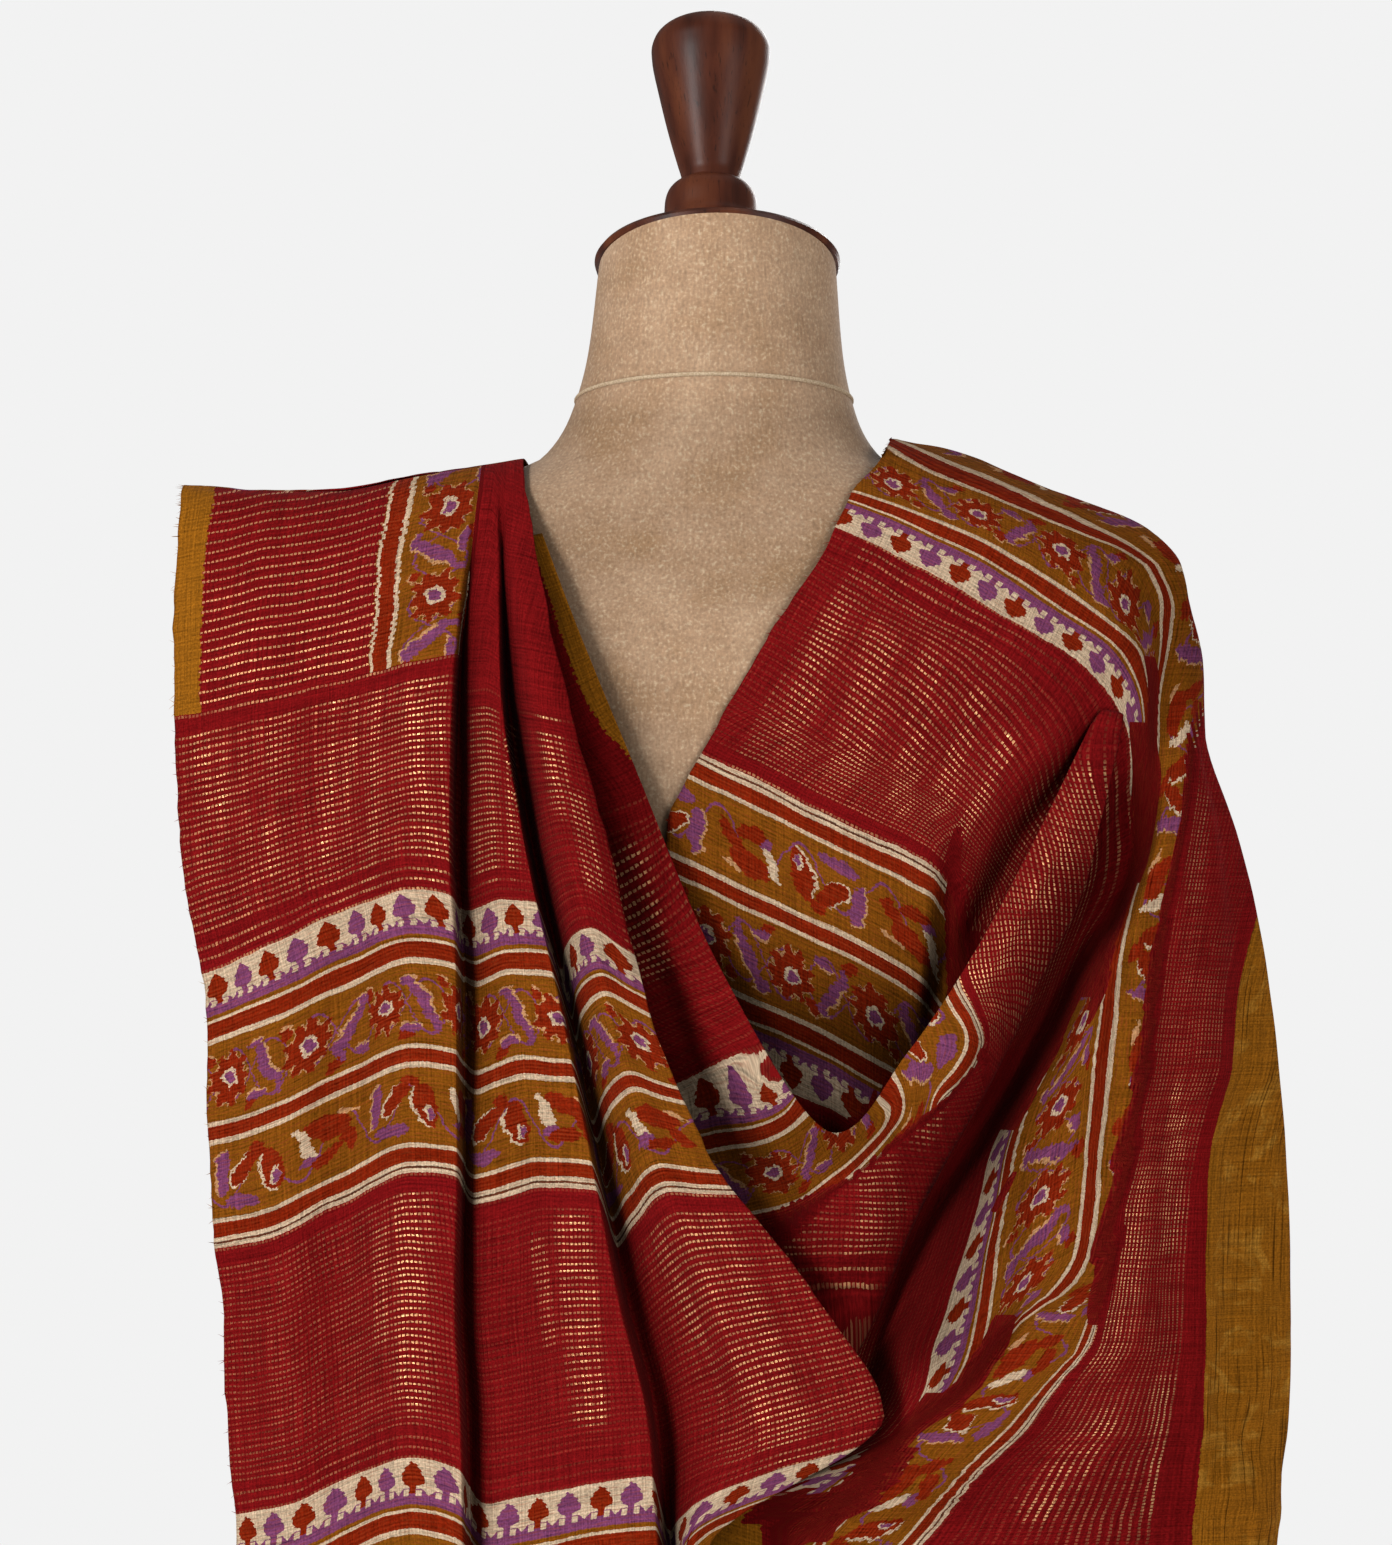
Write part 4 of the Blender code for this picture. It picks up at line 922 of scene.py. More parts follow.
def fall_weave(points):
    """Where each point of the fall lies across the sari and along it."""
    columns = points.shape[1] - 1
    count = len(FALL_FOLDS) - 1
    folds = np.linspace(0.0, count, columns + 1)
    marks = column(FALL_LINES, "along")
    crossings = np.array([eased(range(count + 1), line["rows"], folds) for line in FALL_LINES])
    heights = PHOTO_TOP - crossings * PHOTO_PIXEL
    weave = np.zeros((*points.shape[:2], 2))
    walked = run_along(points)
    names = column(FALL_FOLDS, "name")
    first = np.searchsorted(folds, names.index("groove one"))
    second = np.searchsorted(folds, names.index("groove two"))
    for i in range(columns + 1):
        z = points[:, i, 2]
        stops = heights[:, i]
        along = np.interp(-z, -stops, marks)
        along = np.where(z > stops[0], marks[0] - (z - stops[0]), along)
        along = np.where(z < stops[-1], marks[-1] + stops[-1] - z, along)
        weave[:, i, 1] = along
        across = walked[:, i]
        if i > second:
            across = PLEAT_TWO_START + walked[:, i] - walked[:, second]
        elif i > first:
            across = PLEAT_ONE_START + walked[:, i] - walked[:, first]
        weave[:, i, 0] = across
    return weave


def swag_points(columns, rows):
    """The swag between the shoulders: a rib for each fold, read across and along."""
    ribs = len(SWAG_FOLDS) - 1
    places = len(SWAG_FOLDS[0]["across"]) - 1
    us = np.linspace(0.0, 1.0, columns + 1)
    vs = np.linspace(0.0, 1.0, rows + 1)

    def spread(name):
        along = np.array([eased(range(places + 1), rib[name], us * places) for rib in SWAG_FOLDS])
        return np.array([eased(range(ribs + 1), rib, (1.0 - vs) * ribs) for rib in along.T]).T

    x = spread("across")
    z = spread("height")
    y = DRAPE_Y - back_depth(x, z) - spread("stand")
    return np.stack([x, y, z], axis=2)


def swag_weave(points):
    """The showing side follows one set of pins, and the cloth beyond its fold follows the other."""
    columns, rows = (np.array(side, float) for side in zip(*SWAG_FOLD_EDGE))
    spots = np.stack([PHOTO_MIDDLE + points[:, :, 0] / PHOTO_PIXEL,
                      (PHOTO_TOP - points[:, :, 2]) / PHOTO_PIXEL], axis=2)
    beyond = (spots[:, :, 0] < columns[-1]) & (spots[:, :, 1] > np.interp(spots[:, :, 0], columns, rows))
    beyond &= spots[:, :, 0] > columns[0]
    weave = np.zeros((*points.shape[:2], 2))
    for k in (0, 1):
        laid = []
        for pins in (np.array(SWAG_PINS, float), np.array(TUCKED_PINS, float)):
            values = through_pins(pins[:, :2], pins[:, 3 - k], spots.reshape(-1, 2))
            laid.append(values.reshape(points.shape[:2]))
        weave[:, :, k] = np.where(beyond, laid[1], laid[0])
    weave[:, :, 1] = np.minimum(weave[:, :, 1], SECOND_BORDER - 1.0)
    weave[:, :, 0] = SARI_WIDTH - weave[:, :, 0]
    return weave


def front_points(columns, rows):
    """The stretch across the front: along it from the ridge, and across it from edge to edge."""
    us = np.linspace(0.0, 1.0, columns + 1)
    grid = []
    for v in np.linspace(0.0, 1.0, rows + 1):
        along = 1.0 - v
        band = read_row(FRONT_BAND, along)
        x = band["inner_x"] + (band["outer_x"] - band["inner_x"]) * us
        z = band["inner_z"] + (band["outer_z"] - band["inner_z"]) * us
        ridge = read(FALL_RIDGE, "z", x)
        z = ridge - (ridge - z) * min(along / 0.1, 1.0)
        top = FRONT_DEPTHS[0]["z"]
        depth = read(FRONT_DEPTHS, "depth", z + (top - ridge) * max(0.0, 1.0 - along * 4.0))
        rise = math.sin(min(along * 1.6, 1.0) * math.pi / 2.0) * (0.4 + 0.6 * along)
        wave = 5.5 * np.sin(us * math.pi * 5.0 + 0.7 * math.sin(along * 3.0)) * rise
        wave += 2.4 * np.sin(us * math.pi * 12.0 + along * 4.0 + 1.0) * rise
        wave += 1.2 * np.sin(us * math.pi * 23.0 - along * 6.0) * rise
        reach = np.where(x < 0.0, LEFT_REACH, FRONT_REACH)
        grid.append(np.stack([x, DRAPE_Y + 0.9 + depth * bow(x, reach) + wave, z], axis=1))
    return np.array(grid)


def front_weave(points):
    """Body cloth, with its own long border near the edge at the neck."""
    across = SARI_WIDTH - run_along(points)
    down = run_along(points.transpose(1, 0, 2)).T
    along = down - down[-1:, :] - FRONT_START
    return np.stack([across, along], axis=2)


def skirt_points(columns, rows):
    us = np.linspace(0.0, 1.0, columns + 1)
    turn = 2.0 * math.pi * us
    grid = []
    for v in np.linspace(0.0, 1.0, rows + 1):
        level = step_along(SKIRT_LEVELS, v)
        girth = read_row(SKIRT_GIRTHS, level)
        folds = np.cos(SKIRT_FOLDS * turn + 0.6 * np.sin(turn) + 0.35 * np.sin(level / 170.0))
        ripple = girth["wave"] * (folds + 0.3 * np.cos((SKIRT_FOLDS * 2 + 5) * turn + level / 210.0)
                                  - 0.2 * np.cos(3.0 * turn))
        x = (girth["half_width"] + ripple) * np.sin(turn)
        y = girth["y"] - (girth["half_depth"] + ripple) * np.cos(turn)
        grid.append(np.stack([x, y, np.full_like(x, level)], axis=1))
    return np.array(grid)


def pleats_points(columns, rows):
    us = np.linspace(0.0, 1.0, columns + 1)
    grid = []
    for v in np.linspace(0.0, 1.0, rows + 1):
        level = HEM_HEIGHT + (PLEAT_ROWS[0]["z"] - HEM_HEIGHT) * v
        tuck = read_row(PLEAT_ROWS, level)
        girth = read_row(SKIRT_GIRTHS, level)
        x = tuck["right"] + (tuck["left"] - tuck["right"]) * us
        lean = us - 0.05 * np.sin(2.0 * math.pi * PLEAT_COUNT * us)
        crest = (1.0 - np.cos(2.0 * math.pi * PLEAT_COUNT * lean)) / 2.0
        held = np.clip(np.minimum(us, 1.0 - us) / 0.05, 0.0, 1.0)
        stand = PLEAT_GAP + (tuck["stand"] - PLEAT_GAP) * held + tuck["wave"] * crest
        y = girth["y"] + girth["half_depth"] * bow(x, girth["half_width"]) + stand
        grid.append(np.stack([x, y, np.full_like(x, level)], axis=1))
    return np.array(grid)


def lower_weave(points, start):
    """Body cloth hung with one long edge at the hem."""
    walked = run_along(points)
    across = points[:, :, 2] - HEM_HEIGHT
    along = -start - walked.mean(axis=0, keepdims=True).repeat(len(points), axis=0)
    return np.stack([across, along], axis=2)


def feed(socket, value):
    """Give a socket a plain value, or link it to another socket or to a node's first output."""
    if isinstance(value, bpy.types.Node):
        value = next(out for out in value.outputs if out.enabled)
    if isinstance(value, bpy.types.NodeSocket):
        socket.id_data.links.new(value, socket)
    else:
        socket.default_value = value


def add_node(tree, kind, *values, **settings):
    """Add a node, set what is named, and feed its sockets in order; None leaves a socket alone."""
    made = tree.nodes.new("ShaderNode" + kind)
    for name, value in settings.items():
        setattr(made, name, value)
    sockets = [socket for socket in made.inputs if socket.enabled]
    for socket, value in zip(sockets, values):
        if value is not None:
            feed(socket, value)
    return made


def new_material(name):
    """A material, its shader and the function that adds nodes to it."""
    material = bpy.data.materials.new(name)
    material.use_nodes = True
    tree = material.node_tree
    return material, tree.nodes["Principled BSDF"], functools.partial(add_node, tree)


def feed_shader(shader, values):
    for name, value in values.items():
        feed(shader.inputs[name], value)


def fill_ramp(ramp_node, stops, interpolation="LINEAR"):
    """Set a colour ramp's stops from (place, colour) pairs."""
    ramp = ramp_node.color_ramp
    ramp.interpolation = interpolation
    while len(ramp.elements) > 1:
        ramp.elements.remove(ramp.elements[-1])
    ramp.elements[0].position = stops[0][0]
    ramp.elements[0].color = stops[0][1]
    for place, colour in stops[1:]:
        ramp.elements.new(place).color = colour


def stray(node, place, scale, detail, reach):
    """How far cloudy noise pushes a place aside, either way, in each direction."""
    cloud = node("TexNoise", place, scale, detail)
    aside = node("VectorMath", cloud.outputs["Color"], (0.5, 0.5, 0.5), operation="SUBTRACT")
    return node("VectorMath", aside, reach, operation="SCALE")


def streaks(node, place, stretch, detail, levels=None, turn=None):
    """Noise drawn out into streaks, spread from one range of levels to another where they are given."""
    drawn = node("Mapping", place, None, turn, stretch)
    grain = node("TexNoise", drawn, 1.0, detail)
    return node("MapRange", grain, *levels) if levels else grain


def paint(node, ground, layers):
    """Lay (mask, colour) layers over a ground colour, in order."""
    for mask, colour in layers:
        ground = node("Mix", mask, ground, colour, data_type="RGBA")
    return ground


def between(node, value, low, high):
    """A mask that is 1 where low < value < high."""
    above = node("Math", value, low, operation="GREATER_THAN")
    below = node("Math", value, high, operation="LESS_THAN")
    return node("Math", above, below, operation="MULTIPLY")


def oval(node, cell, shape):
    """A mask of an oval in the repeat, from its middle, half size and turn."""
    turn = Euler((0.0, 0.0, math.radians(shape["turn"])))
    local = node("Mapping", cell, (*shape["at"], 0.0), turn, (*shape["size"], 1.0), vector_type="TEXTURE")
    away = node("VectorMath", local, operation="LENGTH")
    return node("Math", away, 1.0, operation="LESS_THAN")


def repeat_cell(node, place, length, turning=None):
    """Place within one repeat; about the turning place, every other repeat is mirrored."""
    x = node("Math", place.outputs["X"], length, operation="FLOORED_MODULO")
    x = node("Math", x, length / 2.0, operation="SUBTRACT")
    if turning is not None:
        count = node("Math", place.outputs["X"], length, operation="DIVIDE")
        count = node("Math", count, operation="FLOOR")
        odd = node("Math", count, 2.0, operation="FLOORED_MODULO")
        sign = node("Math", odd, -2.0, 1.0, operation="MULTIPLY_ADD")
        x = node("Math", x, turning, operation="SUBTRACT")
        x = node("Math", x, sign, turning, operation="MULTIPLY_ADD")
    return node("CombineXYZ", x, place.outputs["Y"], 0.0)


def border_colour(node, along, inward):
    """A whole border: stripes, bud row, flower band and leaf band, from run-along and depth-in."""
    total = sum(width for width, _ in BORDER_STRIPES)
    share = node("Math", inward, total, operation="DIVIDE")
    stripes = node("ValToRGB", share)
    stops = []
    place = 0.0
    for width, colour in BORDER_STRIPES:
        stops.append((place / total, dye(colour)))
        place += width
    fill_ramp(stripes, stops, "CONSTANT")

    # Buds stand in a row on cream, rust and purple in turn, with their points outwards
    tall = BUD_PROFILE[-1][0]
    broad = max(half for _, half in BUD_PROFILE)
    outline = node("ValToRGB", node("Math", inward, tall, operation="DIVIDE"))
    fill_ramp(outline, [(h / tall, (w / broad,) * 3 + (1.0,)) for h, w in BUD_PROFILE])
    half = node("Math", outline, broad, operation="MULTIPLY")
    saw = node("Math", along, BUD_PITCH, operation="PINGPONG")
    aside = node("Math", saw, BUD_PITCH / 2.0, operation="SUBTRACT")
    aside = node("Math", aside, operation="ABSOLUTE")
    bud = node("Math", aside, half, operation="LESS_THAN")
    bud = node("Math", bud, between(node, inward, 1.6, tall), operation="MULTIPLY")
    turn = node("Math", node("Math", along, BUD_PITCH, operation="DIVIDE"), operation="FLOOR")
    odd = node("Math", node("Math", turn, 2.0, operation="FLOORED_MODULO"), 0.5, operation="GREATER_THAN")
    bud_colour = paint(node, dye("rust"), [(odd, dye("purple"))])
    lobe = node("Math", aside, BUD_PITCH / 2.0 - 2.6, operation="SUBTRACT")
    lobe = node("Math", lobe, 0.0, operation="MAXIMUM")
    scallop = node("Math", lobe, 13.0, operation="ADD")
    braid = node("Math", inward, scallop, operation="GREATER_THAN")
    braid = node("Math", braid, between(node, inward, 12.0, 19.8), operation="MULTIPLY")
    foot = between(node, aside, 1.6, 4.4)
    foot = node("Math", foot, between(node, inward, 13.4, 16.2), operation="MULTIPLY")

    # The repeat of the two figured bands
    place = node("CombineXYZ", along, inward, 0.0)
    sway = stray(node, place, 0.09, 1.0, 6.0)
    frayed = stray(node, place, 0.6, 1.0, 3.4)
    sway = node("VectorMath", sway, frayed, operation="ADD")
    place = node("SeparateXYZ", node("VectorMath", place, sway, operation="ADD"))
    flower_cell = repeat_cell(node, place, FLOWER_REPEAT)
    feather_cell = repeat_cell(node, place, FLOWER_REPEAT, FEATHER_MIDDLE)
    leaf_cell = repeat_cell(node, place, LEAF_REPEAT)
    layers = [(braid, dye("purple")), (foot, dye("cream")), (bud, bud_colour)]
    angle_step = 2.0 * math.pi / FLOWER_REPEAT
    for vine in VINES:
        swing = node("Math", along, angle_step, vine["phase"], operation="MULTIPLY_ADD")
        swing = node("Math", swing, operation="SINE")
        swing = node("Math", swing, vine["swing"], vine["middle"], operation="MULTIPLY_ADD")
        off = node("Math", inward, swing, operation="SUBTRACT")
        off = node("Math", off, operation="ABSOLUTE")
        line = node("Math", off, vine["half"], operation="LESS_THAN")
        layers.append((line, dye("purple")))
    for cell, shapes in ((flower_cell, FLOWER_SHAPES), (feather_cell, FEATHER_SHAPES),
                         (leaf_cell, LEAF_SHAPES)):
        layers += [(oval(node, cell, shape), dye(shape["colour"])) for shape in shapes]
    layers += rosette_layers(node, flower_cell)
    return paint(node, stripes, layers)


def rosette_layers(node, cell):
    """A round flower: lobed rust petals, cream flecks between them, a cream ring and a purple eye."""
    local = node("VectorMath", cell, (*ROSETTE["at"], 0.0), operation="SUBTRACT")
    away = node("VectorMath", local, operation="LENGTH")
    parts = node("SeparateXYZ", local)
    turn = node("Math", parts.outputs["Y"], parts.outputs["X"], operation="ARCTAN2")
    lobes = node("Math", turn, float(ROSETTE["petals"]), operation="MULTIPLY")
    lobes = node("Math", lobes, operation="COSINE")
    edge = node("Math", lobes, ROSETTE["wave"], ROSETTE["radius"], operation="MULTIPLY_ADD")
    petals = node("Math", away, edge, operation="LESS_THAN")
    gap = node("Math", lobes, 0.25, operation="LESS_THAN")
    rim = node("Math", edge, ROSETTE["rim"], operation="ADD")
    flecks = node("Math", node("Math", away, rim, operation="LESS_THAN"), gap, operation="MULTIPLY")
    ring = node("Math", away, ROSETTE["ring"][1], operation="LESS_THAN")
    eye = node("Math", away, ROSETTE["ring"][0], operation="LESS_THAN")
    return [(flecks, dye("outline")), (petals, dye("rust")), (ring, dye("cream")), (eye, dye("purple"))]


def woven_silk(settings):
    """Tussar silk, hand woven: slubby matt red yarn, gold-wrapped weft and block-coloured borders."""
    material, shader, node = new_material(SILK_NAME)
    flat = node("UVMap", uv_map="weave")
    point = node("VectorMath", flat, 1000.0, operation="SCALE")

    # Threads wander by under a millimetre, so no stripe's edge is quite straight
    drift = stray(node, point, 0.035, 2.0, 3.2)
    worn = node("VectorMath", point, drift, operation="ADD")
    parts = node("SeparateXYZ", worn)
    along = parts.outputs["Y"]

    # Each row of figured weft turns back a little early or late, so that motifs have stepped edges
    row = node("Math", along, ROW_HEIGHT, operation="DIVIDE")
    row = node("Math", row, operation="FLOOR")
    early = node("TexWhiteNoise", row, noise_dimensions="1D")
    across = node("Math", early, 1.5, parts.outputs["X"], operation="MULTIPLY_ADD")
    blur = node("TexNoise", point, 0.9, 1.0)
    along = node("Math", blur, 0.9, along, operation="MULTIPLY_ADD")

    # The body lies before the first red zone and carries its borders along both edges
    body = node("Math", along, 0.0, operation="LESS_THAN")
    far = node("Math", SARI_WIDTH, across, operation="SUBTRACT")
    edge = node("Math", across, far, operation="MINIMUM")
    later = node("Math", along, (FIRST_BORDER_END + SECOND_BORDER) / 2.0, operation="GREATER_THAN")
    start = node("Math", later, SECOND_BORDER - FIRST_BORDER, FIRST_BORDER, operation="MULTIPLY_ADD")
    depth = node("Math", along, start, operation="SUBTRACT")
    body_depth = node("Math", edge, BODY_BORDER_SHIFT, operation="SUBTRACT")
    inward = node("Mix", body, depth, body_depth)
    run = node("Mix", body, across, along)
    in_border = between(node, inward, 0.0, BORDER_WIDTH)
    in_body_border = between(node, inward, *BODY_BORDER_BAND)
    in_border = node("Mix", body, in_border, in_body_border)
    in_strip = node("Math", edge, SELVEDGE_STRIP, operation="LESS_THAN")
    in_strip = node("Math", in_strip, body, operation="MULTIPLY")
    in_panel = node("Math", along, END_PANEL, operation="GREATER_THAN")
    figured = border_colour(node, run, inward)

    red = node("RGB")
    red.outputs[0].default_value = (*settings.red, 1.0)
    colour = paint(node, red, [(in_border, figured), (in_panel, dye("mustard")),
                               (in_strip, dye("mustard"))])

    gold = gold_weft(node, settings, point, parts.outputs["X"], along, body, in_border, in_panel, in_strip)
    tuck = node("Attribute", attribute_name="tuck").outputs["Fac"]
    tuck = node("Math", tuck, 0.5, operation="GREATER_THAN")
    colour = paint(node, colour, [(gold, dye("gold")), (tuck, red)])

    # Slubs and uneven dye: long thin streaks along the weft, fainter ones along the warp
    weft = streaks(node, point, (0.022, 0.95, 1.0), 3.0)
    warp = streaks(node, point, (1.3, 0.03, 1.0), 2.0)
    slubs = node("Math", weft, warp, operation="ADD")
    slub = streaks(node, point, (0.03, 0.55, 1.0), 1.0, (0.66, 0.72, 0.0, 1.0))
    shade = node("MapRange", slubs, 0.76, 1.24, 0.7, 1.3)
    shade = node("Math", slub, -0.2, shade, operation="MULTIPLY_ADD")
    # Painted sheen: lighter brass patches over the crumpled end panel
    crinkle_sheen = node("TexNoise", point, 0.045, 3.0, 0.6, 2.0, 1.4)
    crinkle_sheen = node("MapRange", crinkle_sheen, 0.54, 0.66, 0.0, 0.55)
    crinkle_sheen = node("Math", crinkle_sheen, in_panel, operation="MULTIPLY")
    colour = paint(node, colour, [(crinkle_sheen, dye("crinkle_sheen_tint"))])
    # Dark slubs in the end panel, then the weft's ribs with the warp showing through in the borders
    thick = streaks(node, point, (0.014, 0.9, 1.0), 1.0, (0.6, 0.68, 0.0, 0.8), turn=(0.0, 0.0, 0.16))
    thick = node("Math", thick, in_panel, operation="MULTIPLY")
    colour = paint(node, colour, [(thick, dye("slub"))])
    rib = node("Math", parts.outputs["Y"], 2.0 * math.pi / RIB_PITCH, operation="MULTIPLY")
    rib = node("Math", rib, operation="SINE")
    ply = streaks(node, point, (0.16, 1.15, 1.0), 2.0, (0.3, 0.7, -1.0, 1.0))
    rib = node("Math", rib, 0.6, ply, operation="MULTIPLY_ADD")
    through = node("MapRange", rib, -0.1, 1.2, 0.0, 0.6)
    through = node("Math", through, in_border, operation="MULTIPLY")
    colour = paint(node, colour, [(through, dye("warp"))])
    woven = node("MapRange", in_border, 0.0, 1.0, 0.1, 0.24)
    shade = node("Math", rib, woven, shade, operation="MULTIPLY_ADD")
    # Painted shade: the colour darkens deep in folds and hollows, from ambient occlusion within a tenth of
    # a metre
    painted_fold_shade = node("AmbientOcclusion", (1.0, 1.0, 1.0, 1.0), 0.1, samples=4)
    painted_fold_shade = node("MapRange", painted_fold_shade.outputs["AO"], 0.3, 0.9, 0.34, 1.04)
    shade = node("Math", shade, painted_fold_shade, operation="MULTIPLY")

    # Grain of the plain weave, drawn a little coarse so that it shows
    grain = node("TexNoise", point, 1.0, 3.0)
    speck = node("MapRange", grain, 0.3, 0.7, 0.72, 1.28)
    shade = node("Math", shade, speck, operation="MULTIPLY")
    # Painted shade: the dusk mark darkens the hollows that the folds keep the light out of
    dusk = node("Attribute", attribute_name="dusk").outputs["Fac"]
    lit = node("Math", 1.0, dusk, operation="SUBTRACT")
    shade = node("Math", shade, lit, operation="MULTIPLY")
    colour = node("VectorMath", colour, shade, operation="SCALE")

    # Threads, gold and a slow pucker stand out as relief, and the gold alone shines
    relief = node("Math", slubs, grain, operation="ADD")
    relief = node("Math", gold, 0.6, relief, operation="MULTIPLY_ADD")
    pucker = node("TexNoise", point, 0.09, 2.0)
    relief = node("Math", pucker, 3.0, relief, operation="MULTIPLY_ADD")
    bump = node("Bump", settings.relief, 0.0006, None, relief)
    rough = node("MapRange", gold, 0.0, 1.0, 0.66, 0.34)
    metal = node("Math", gold, 0.55, operation="MULTIPLY")
    feed_shader(shader, {"Base Color": colour, "Normal": bump, "Roughness": rough, "Metallic": metal,
                         "Sheen Weight": 0.015, "Sheen Roughness": 0.45, "Specular IOR Level": 0.0})
    return material


def gold_weft(node, settings, point, across, along, body, in_border, in_panel, in_strip):
    """Mask of the gold threads: dense rows in the red zones, sparse ones in the body, painted highlight in
    patches.
    """
    passed_first = node("Math", along, FIRST_BORDER_END, operation="GREATER_THAN")
    passed_second = node("Math", along, SECOND_BORDER_END, operation="GREATER_THAN")
    start = node("Math", passed_first, FIRST_BORDER_END, operation="MULTIPLY")
    start = node("Math", passed_second, SECOND_BORDER_END - FIRST_BORDER_END, start,
                 operation="MULTIPLY_ADD")
    into = node("Math", along, start, operation="SUBTRACT")
    end = node("Math", passed_first, SECOND_BORDER - FIRST_BORDER, FIRST_BORDER, operation="MULTIPLY_ADD")
    end = node("Math", passed_second, END_PANEL - SECOND_BORDER, end, operation="MULTIPLY_ADD")
    left = node("Math", end, along, operation="SUBTRACT")

    spacing = node("Mix", body, settings.dense_spacing, settings.sparse_spacing)
    pick = node("Math", along, spacing, operation="DIVIDE")
    pick = node("Math", pick, operation="FRACT")
    duty = node("Mix", body, 0.3, 0.2)
    thread = node("Math", pick, duty, operation="LESS_THAN")
    dense = node("Math", between(node, into, 9.0, 400.0), between(node, left, 13.0, 400.0),
                 operation="MULTIPLY")
    dense = node("Math", dense, body, operation="MAXIMUM")
    thread = node("Math", thread, dense, operation="MULTIPLY")

    # Single rows close each red zone but the last, and one row opens each
    closing = node("Math", left, 4.5, operation="FLOORED_MODULO")
    closing = node("Math", closing, 1.1, operation="LESS_THAN")
    closing = node("Math", closing, between(node, left, 0.0, 11.0), operation="MULTIPLY")
    before_end = node("Math", 1.0, passed_second, operation="SUBTRACT")
    closing = node("Math", closing, before_end, operation="MULTIPLY")
    opening = between(node, into, 0.4, 1.5)
    single = node("Math", closing, opening, operation="MAXIMUM")
    in_zone = node("Math", 1.0, body, operation="SUBTRACT")
    single = node("Math", single, in_zone, operation="MULTIPLY")
    thread = node("Math", thread, single, operation="MAXIMUM")

    # Each gold float passes over four warp ends and under two
    dash = node("Math", across, settings.float_pitch, operation="DIVIDE")
    dash = node("Math", dash, operation="FRACT")
    dash = node("Math", dash, 0.64, operation="LESS_THAN")
    thread = node("Math", thread, dash, operation="MULTIPLY")
    for off in (in_border, in_panel, in_strip):
        clear = node("Math", 1.0, off, operation="SUBTRACT")
        thread = node("Math", thread, clear, operation="MULTIPLY")

    # The body's sparse rows are woven only beside its left-hand selvedge
    beside = node("Math", across, SPARSE_GOLD_REACH, operation="LESS_THAN")
    sparse = node("Math", body, beside, operation="MULTIPLY")
    woven = node("Math", in_zone, sparse, operation="ADD")
    thread = node("Math", thread, woven, operation="MULTIPLY")

    # Painted highlight: the wrapped thread shows bright in narrow columns of warp, from the glint mark and
    # streaked noise
    warp = streaks(node, point, (0.32, 0.012, 1.0), 1.0, (0.38, 0.56, 0.3, 1.2))
    rows = streaks(node, point, (0.03, 0.16, 1.0), 1.0, (0.36, 0.5, 0.35, 1.0))
    warp = node("Math", warp, rows, operation="MULTIPLY")
    laid = node("Attribute", attribute_name="glint").outputs["Fac"]
    bright = node("Math", laid, warp, 0.03, operation="MULTIPLY_ADD")
    bright = node("Math", sparse, 0.36, bright, operation="MULTIPLY_ADD", use_clamp=True)
    return node("Math", thread, bright, operation="MULTIPLY")


# Painted shade on the linen, as a share of its colour from 1.2 m up to 1.45 m: darker across the upper back
# and shoulders, lighter at the top of the neck
LINEN_SHADE_BY_HEIGHT = [(0.0, 1.0), (0.28, 1.0), (0.5, 0.88), (0.7, 0.86), (0.77, 1.0), (1.0, 1.06)]


def napped_linen():
    """Linen union, brushed: dull tan with a short pale nap and a fleck of lighter fibre."""
    material, shader, node = new_material("brushed tan linen")
    place = node("TexCoord").outputs["Object"]
    mm = node("VectorMath", place, 1000.0, operation="SCALE")
    cloud = node("TexNoise", mm, 0.03, 4.0)
    base = node("ValToRGB", cloud)
    fill_ramp(base, [(0.3, rgba("AC8866")), (0.5, rgba("B79475")), (0.7, rgba("C2A081"))])
    # Painted shade by height: darker across the upper back and shoulders, lighter at the top of the neck
    height = node("SeparateXYZ", mm).outputs["Z"]
    height = node("MapRange", height, 1200.0, 1450.0, 0.0, 1.0)
    painted_height_shade = node("ValToRGB", height)
    fill_ramp(painted_height_shade, [(at, (level, level, level, 1.0)) for at, level in LINEN_SHADE_BY_HEIGHT], "EASE")
    band = streaks(node, mm, (0.02, 0.02, 0.3), 2.0, (0.3, 0.7, 0.96, 1.04))
    weave = streaks(node, mm, (0.9, 0.9, 0.16), 3.0, (0.3, 0.7, 0.88, 1.12))
    grit = node("TexNoise", mm, 0.7, 4.0)
    fleck = node("MapRange", grit, 0.54, 0.7, 0.0, 0.6)
    pit = node("MapRange", grit, 0.3, 0.5, 0.78, 1.0)
    colour = paint(node, base, [(fleck, rgba("DCC6A6"))])
    # Painted shade: the linen darkens where the cloth lies close over it, from ambient occlusion
    painted_shade_near_cloth = node("AmbientOcclusion", (1.0, 1.0, 1.0, 1.0), 0.08, samples=4)
    painted_shade_near_cloth = node("MapRange", painted_shade_near_cloth.outputs["AO"], 0.4, 0.95, 0.45, 1.0)
    for level in (band, pit, painted_shade_near_cloth, painted_height_shade):
        weave = node("Math", weave, level, operation="MULTIPLY")
    colour = node("VectorMath", colour, weave, operation="SCALE")
    bump = node("Bump", 0.5, 0.0005, None, grit)
    feed_shader(shader, {"Base Color": colour, "Normal": bump, "Roughness": 0.92, "Sheen Weight": 0.22,
                         "Sheen Roughness": 0.5, "Specular IOR Level": 0.15})
    return material


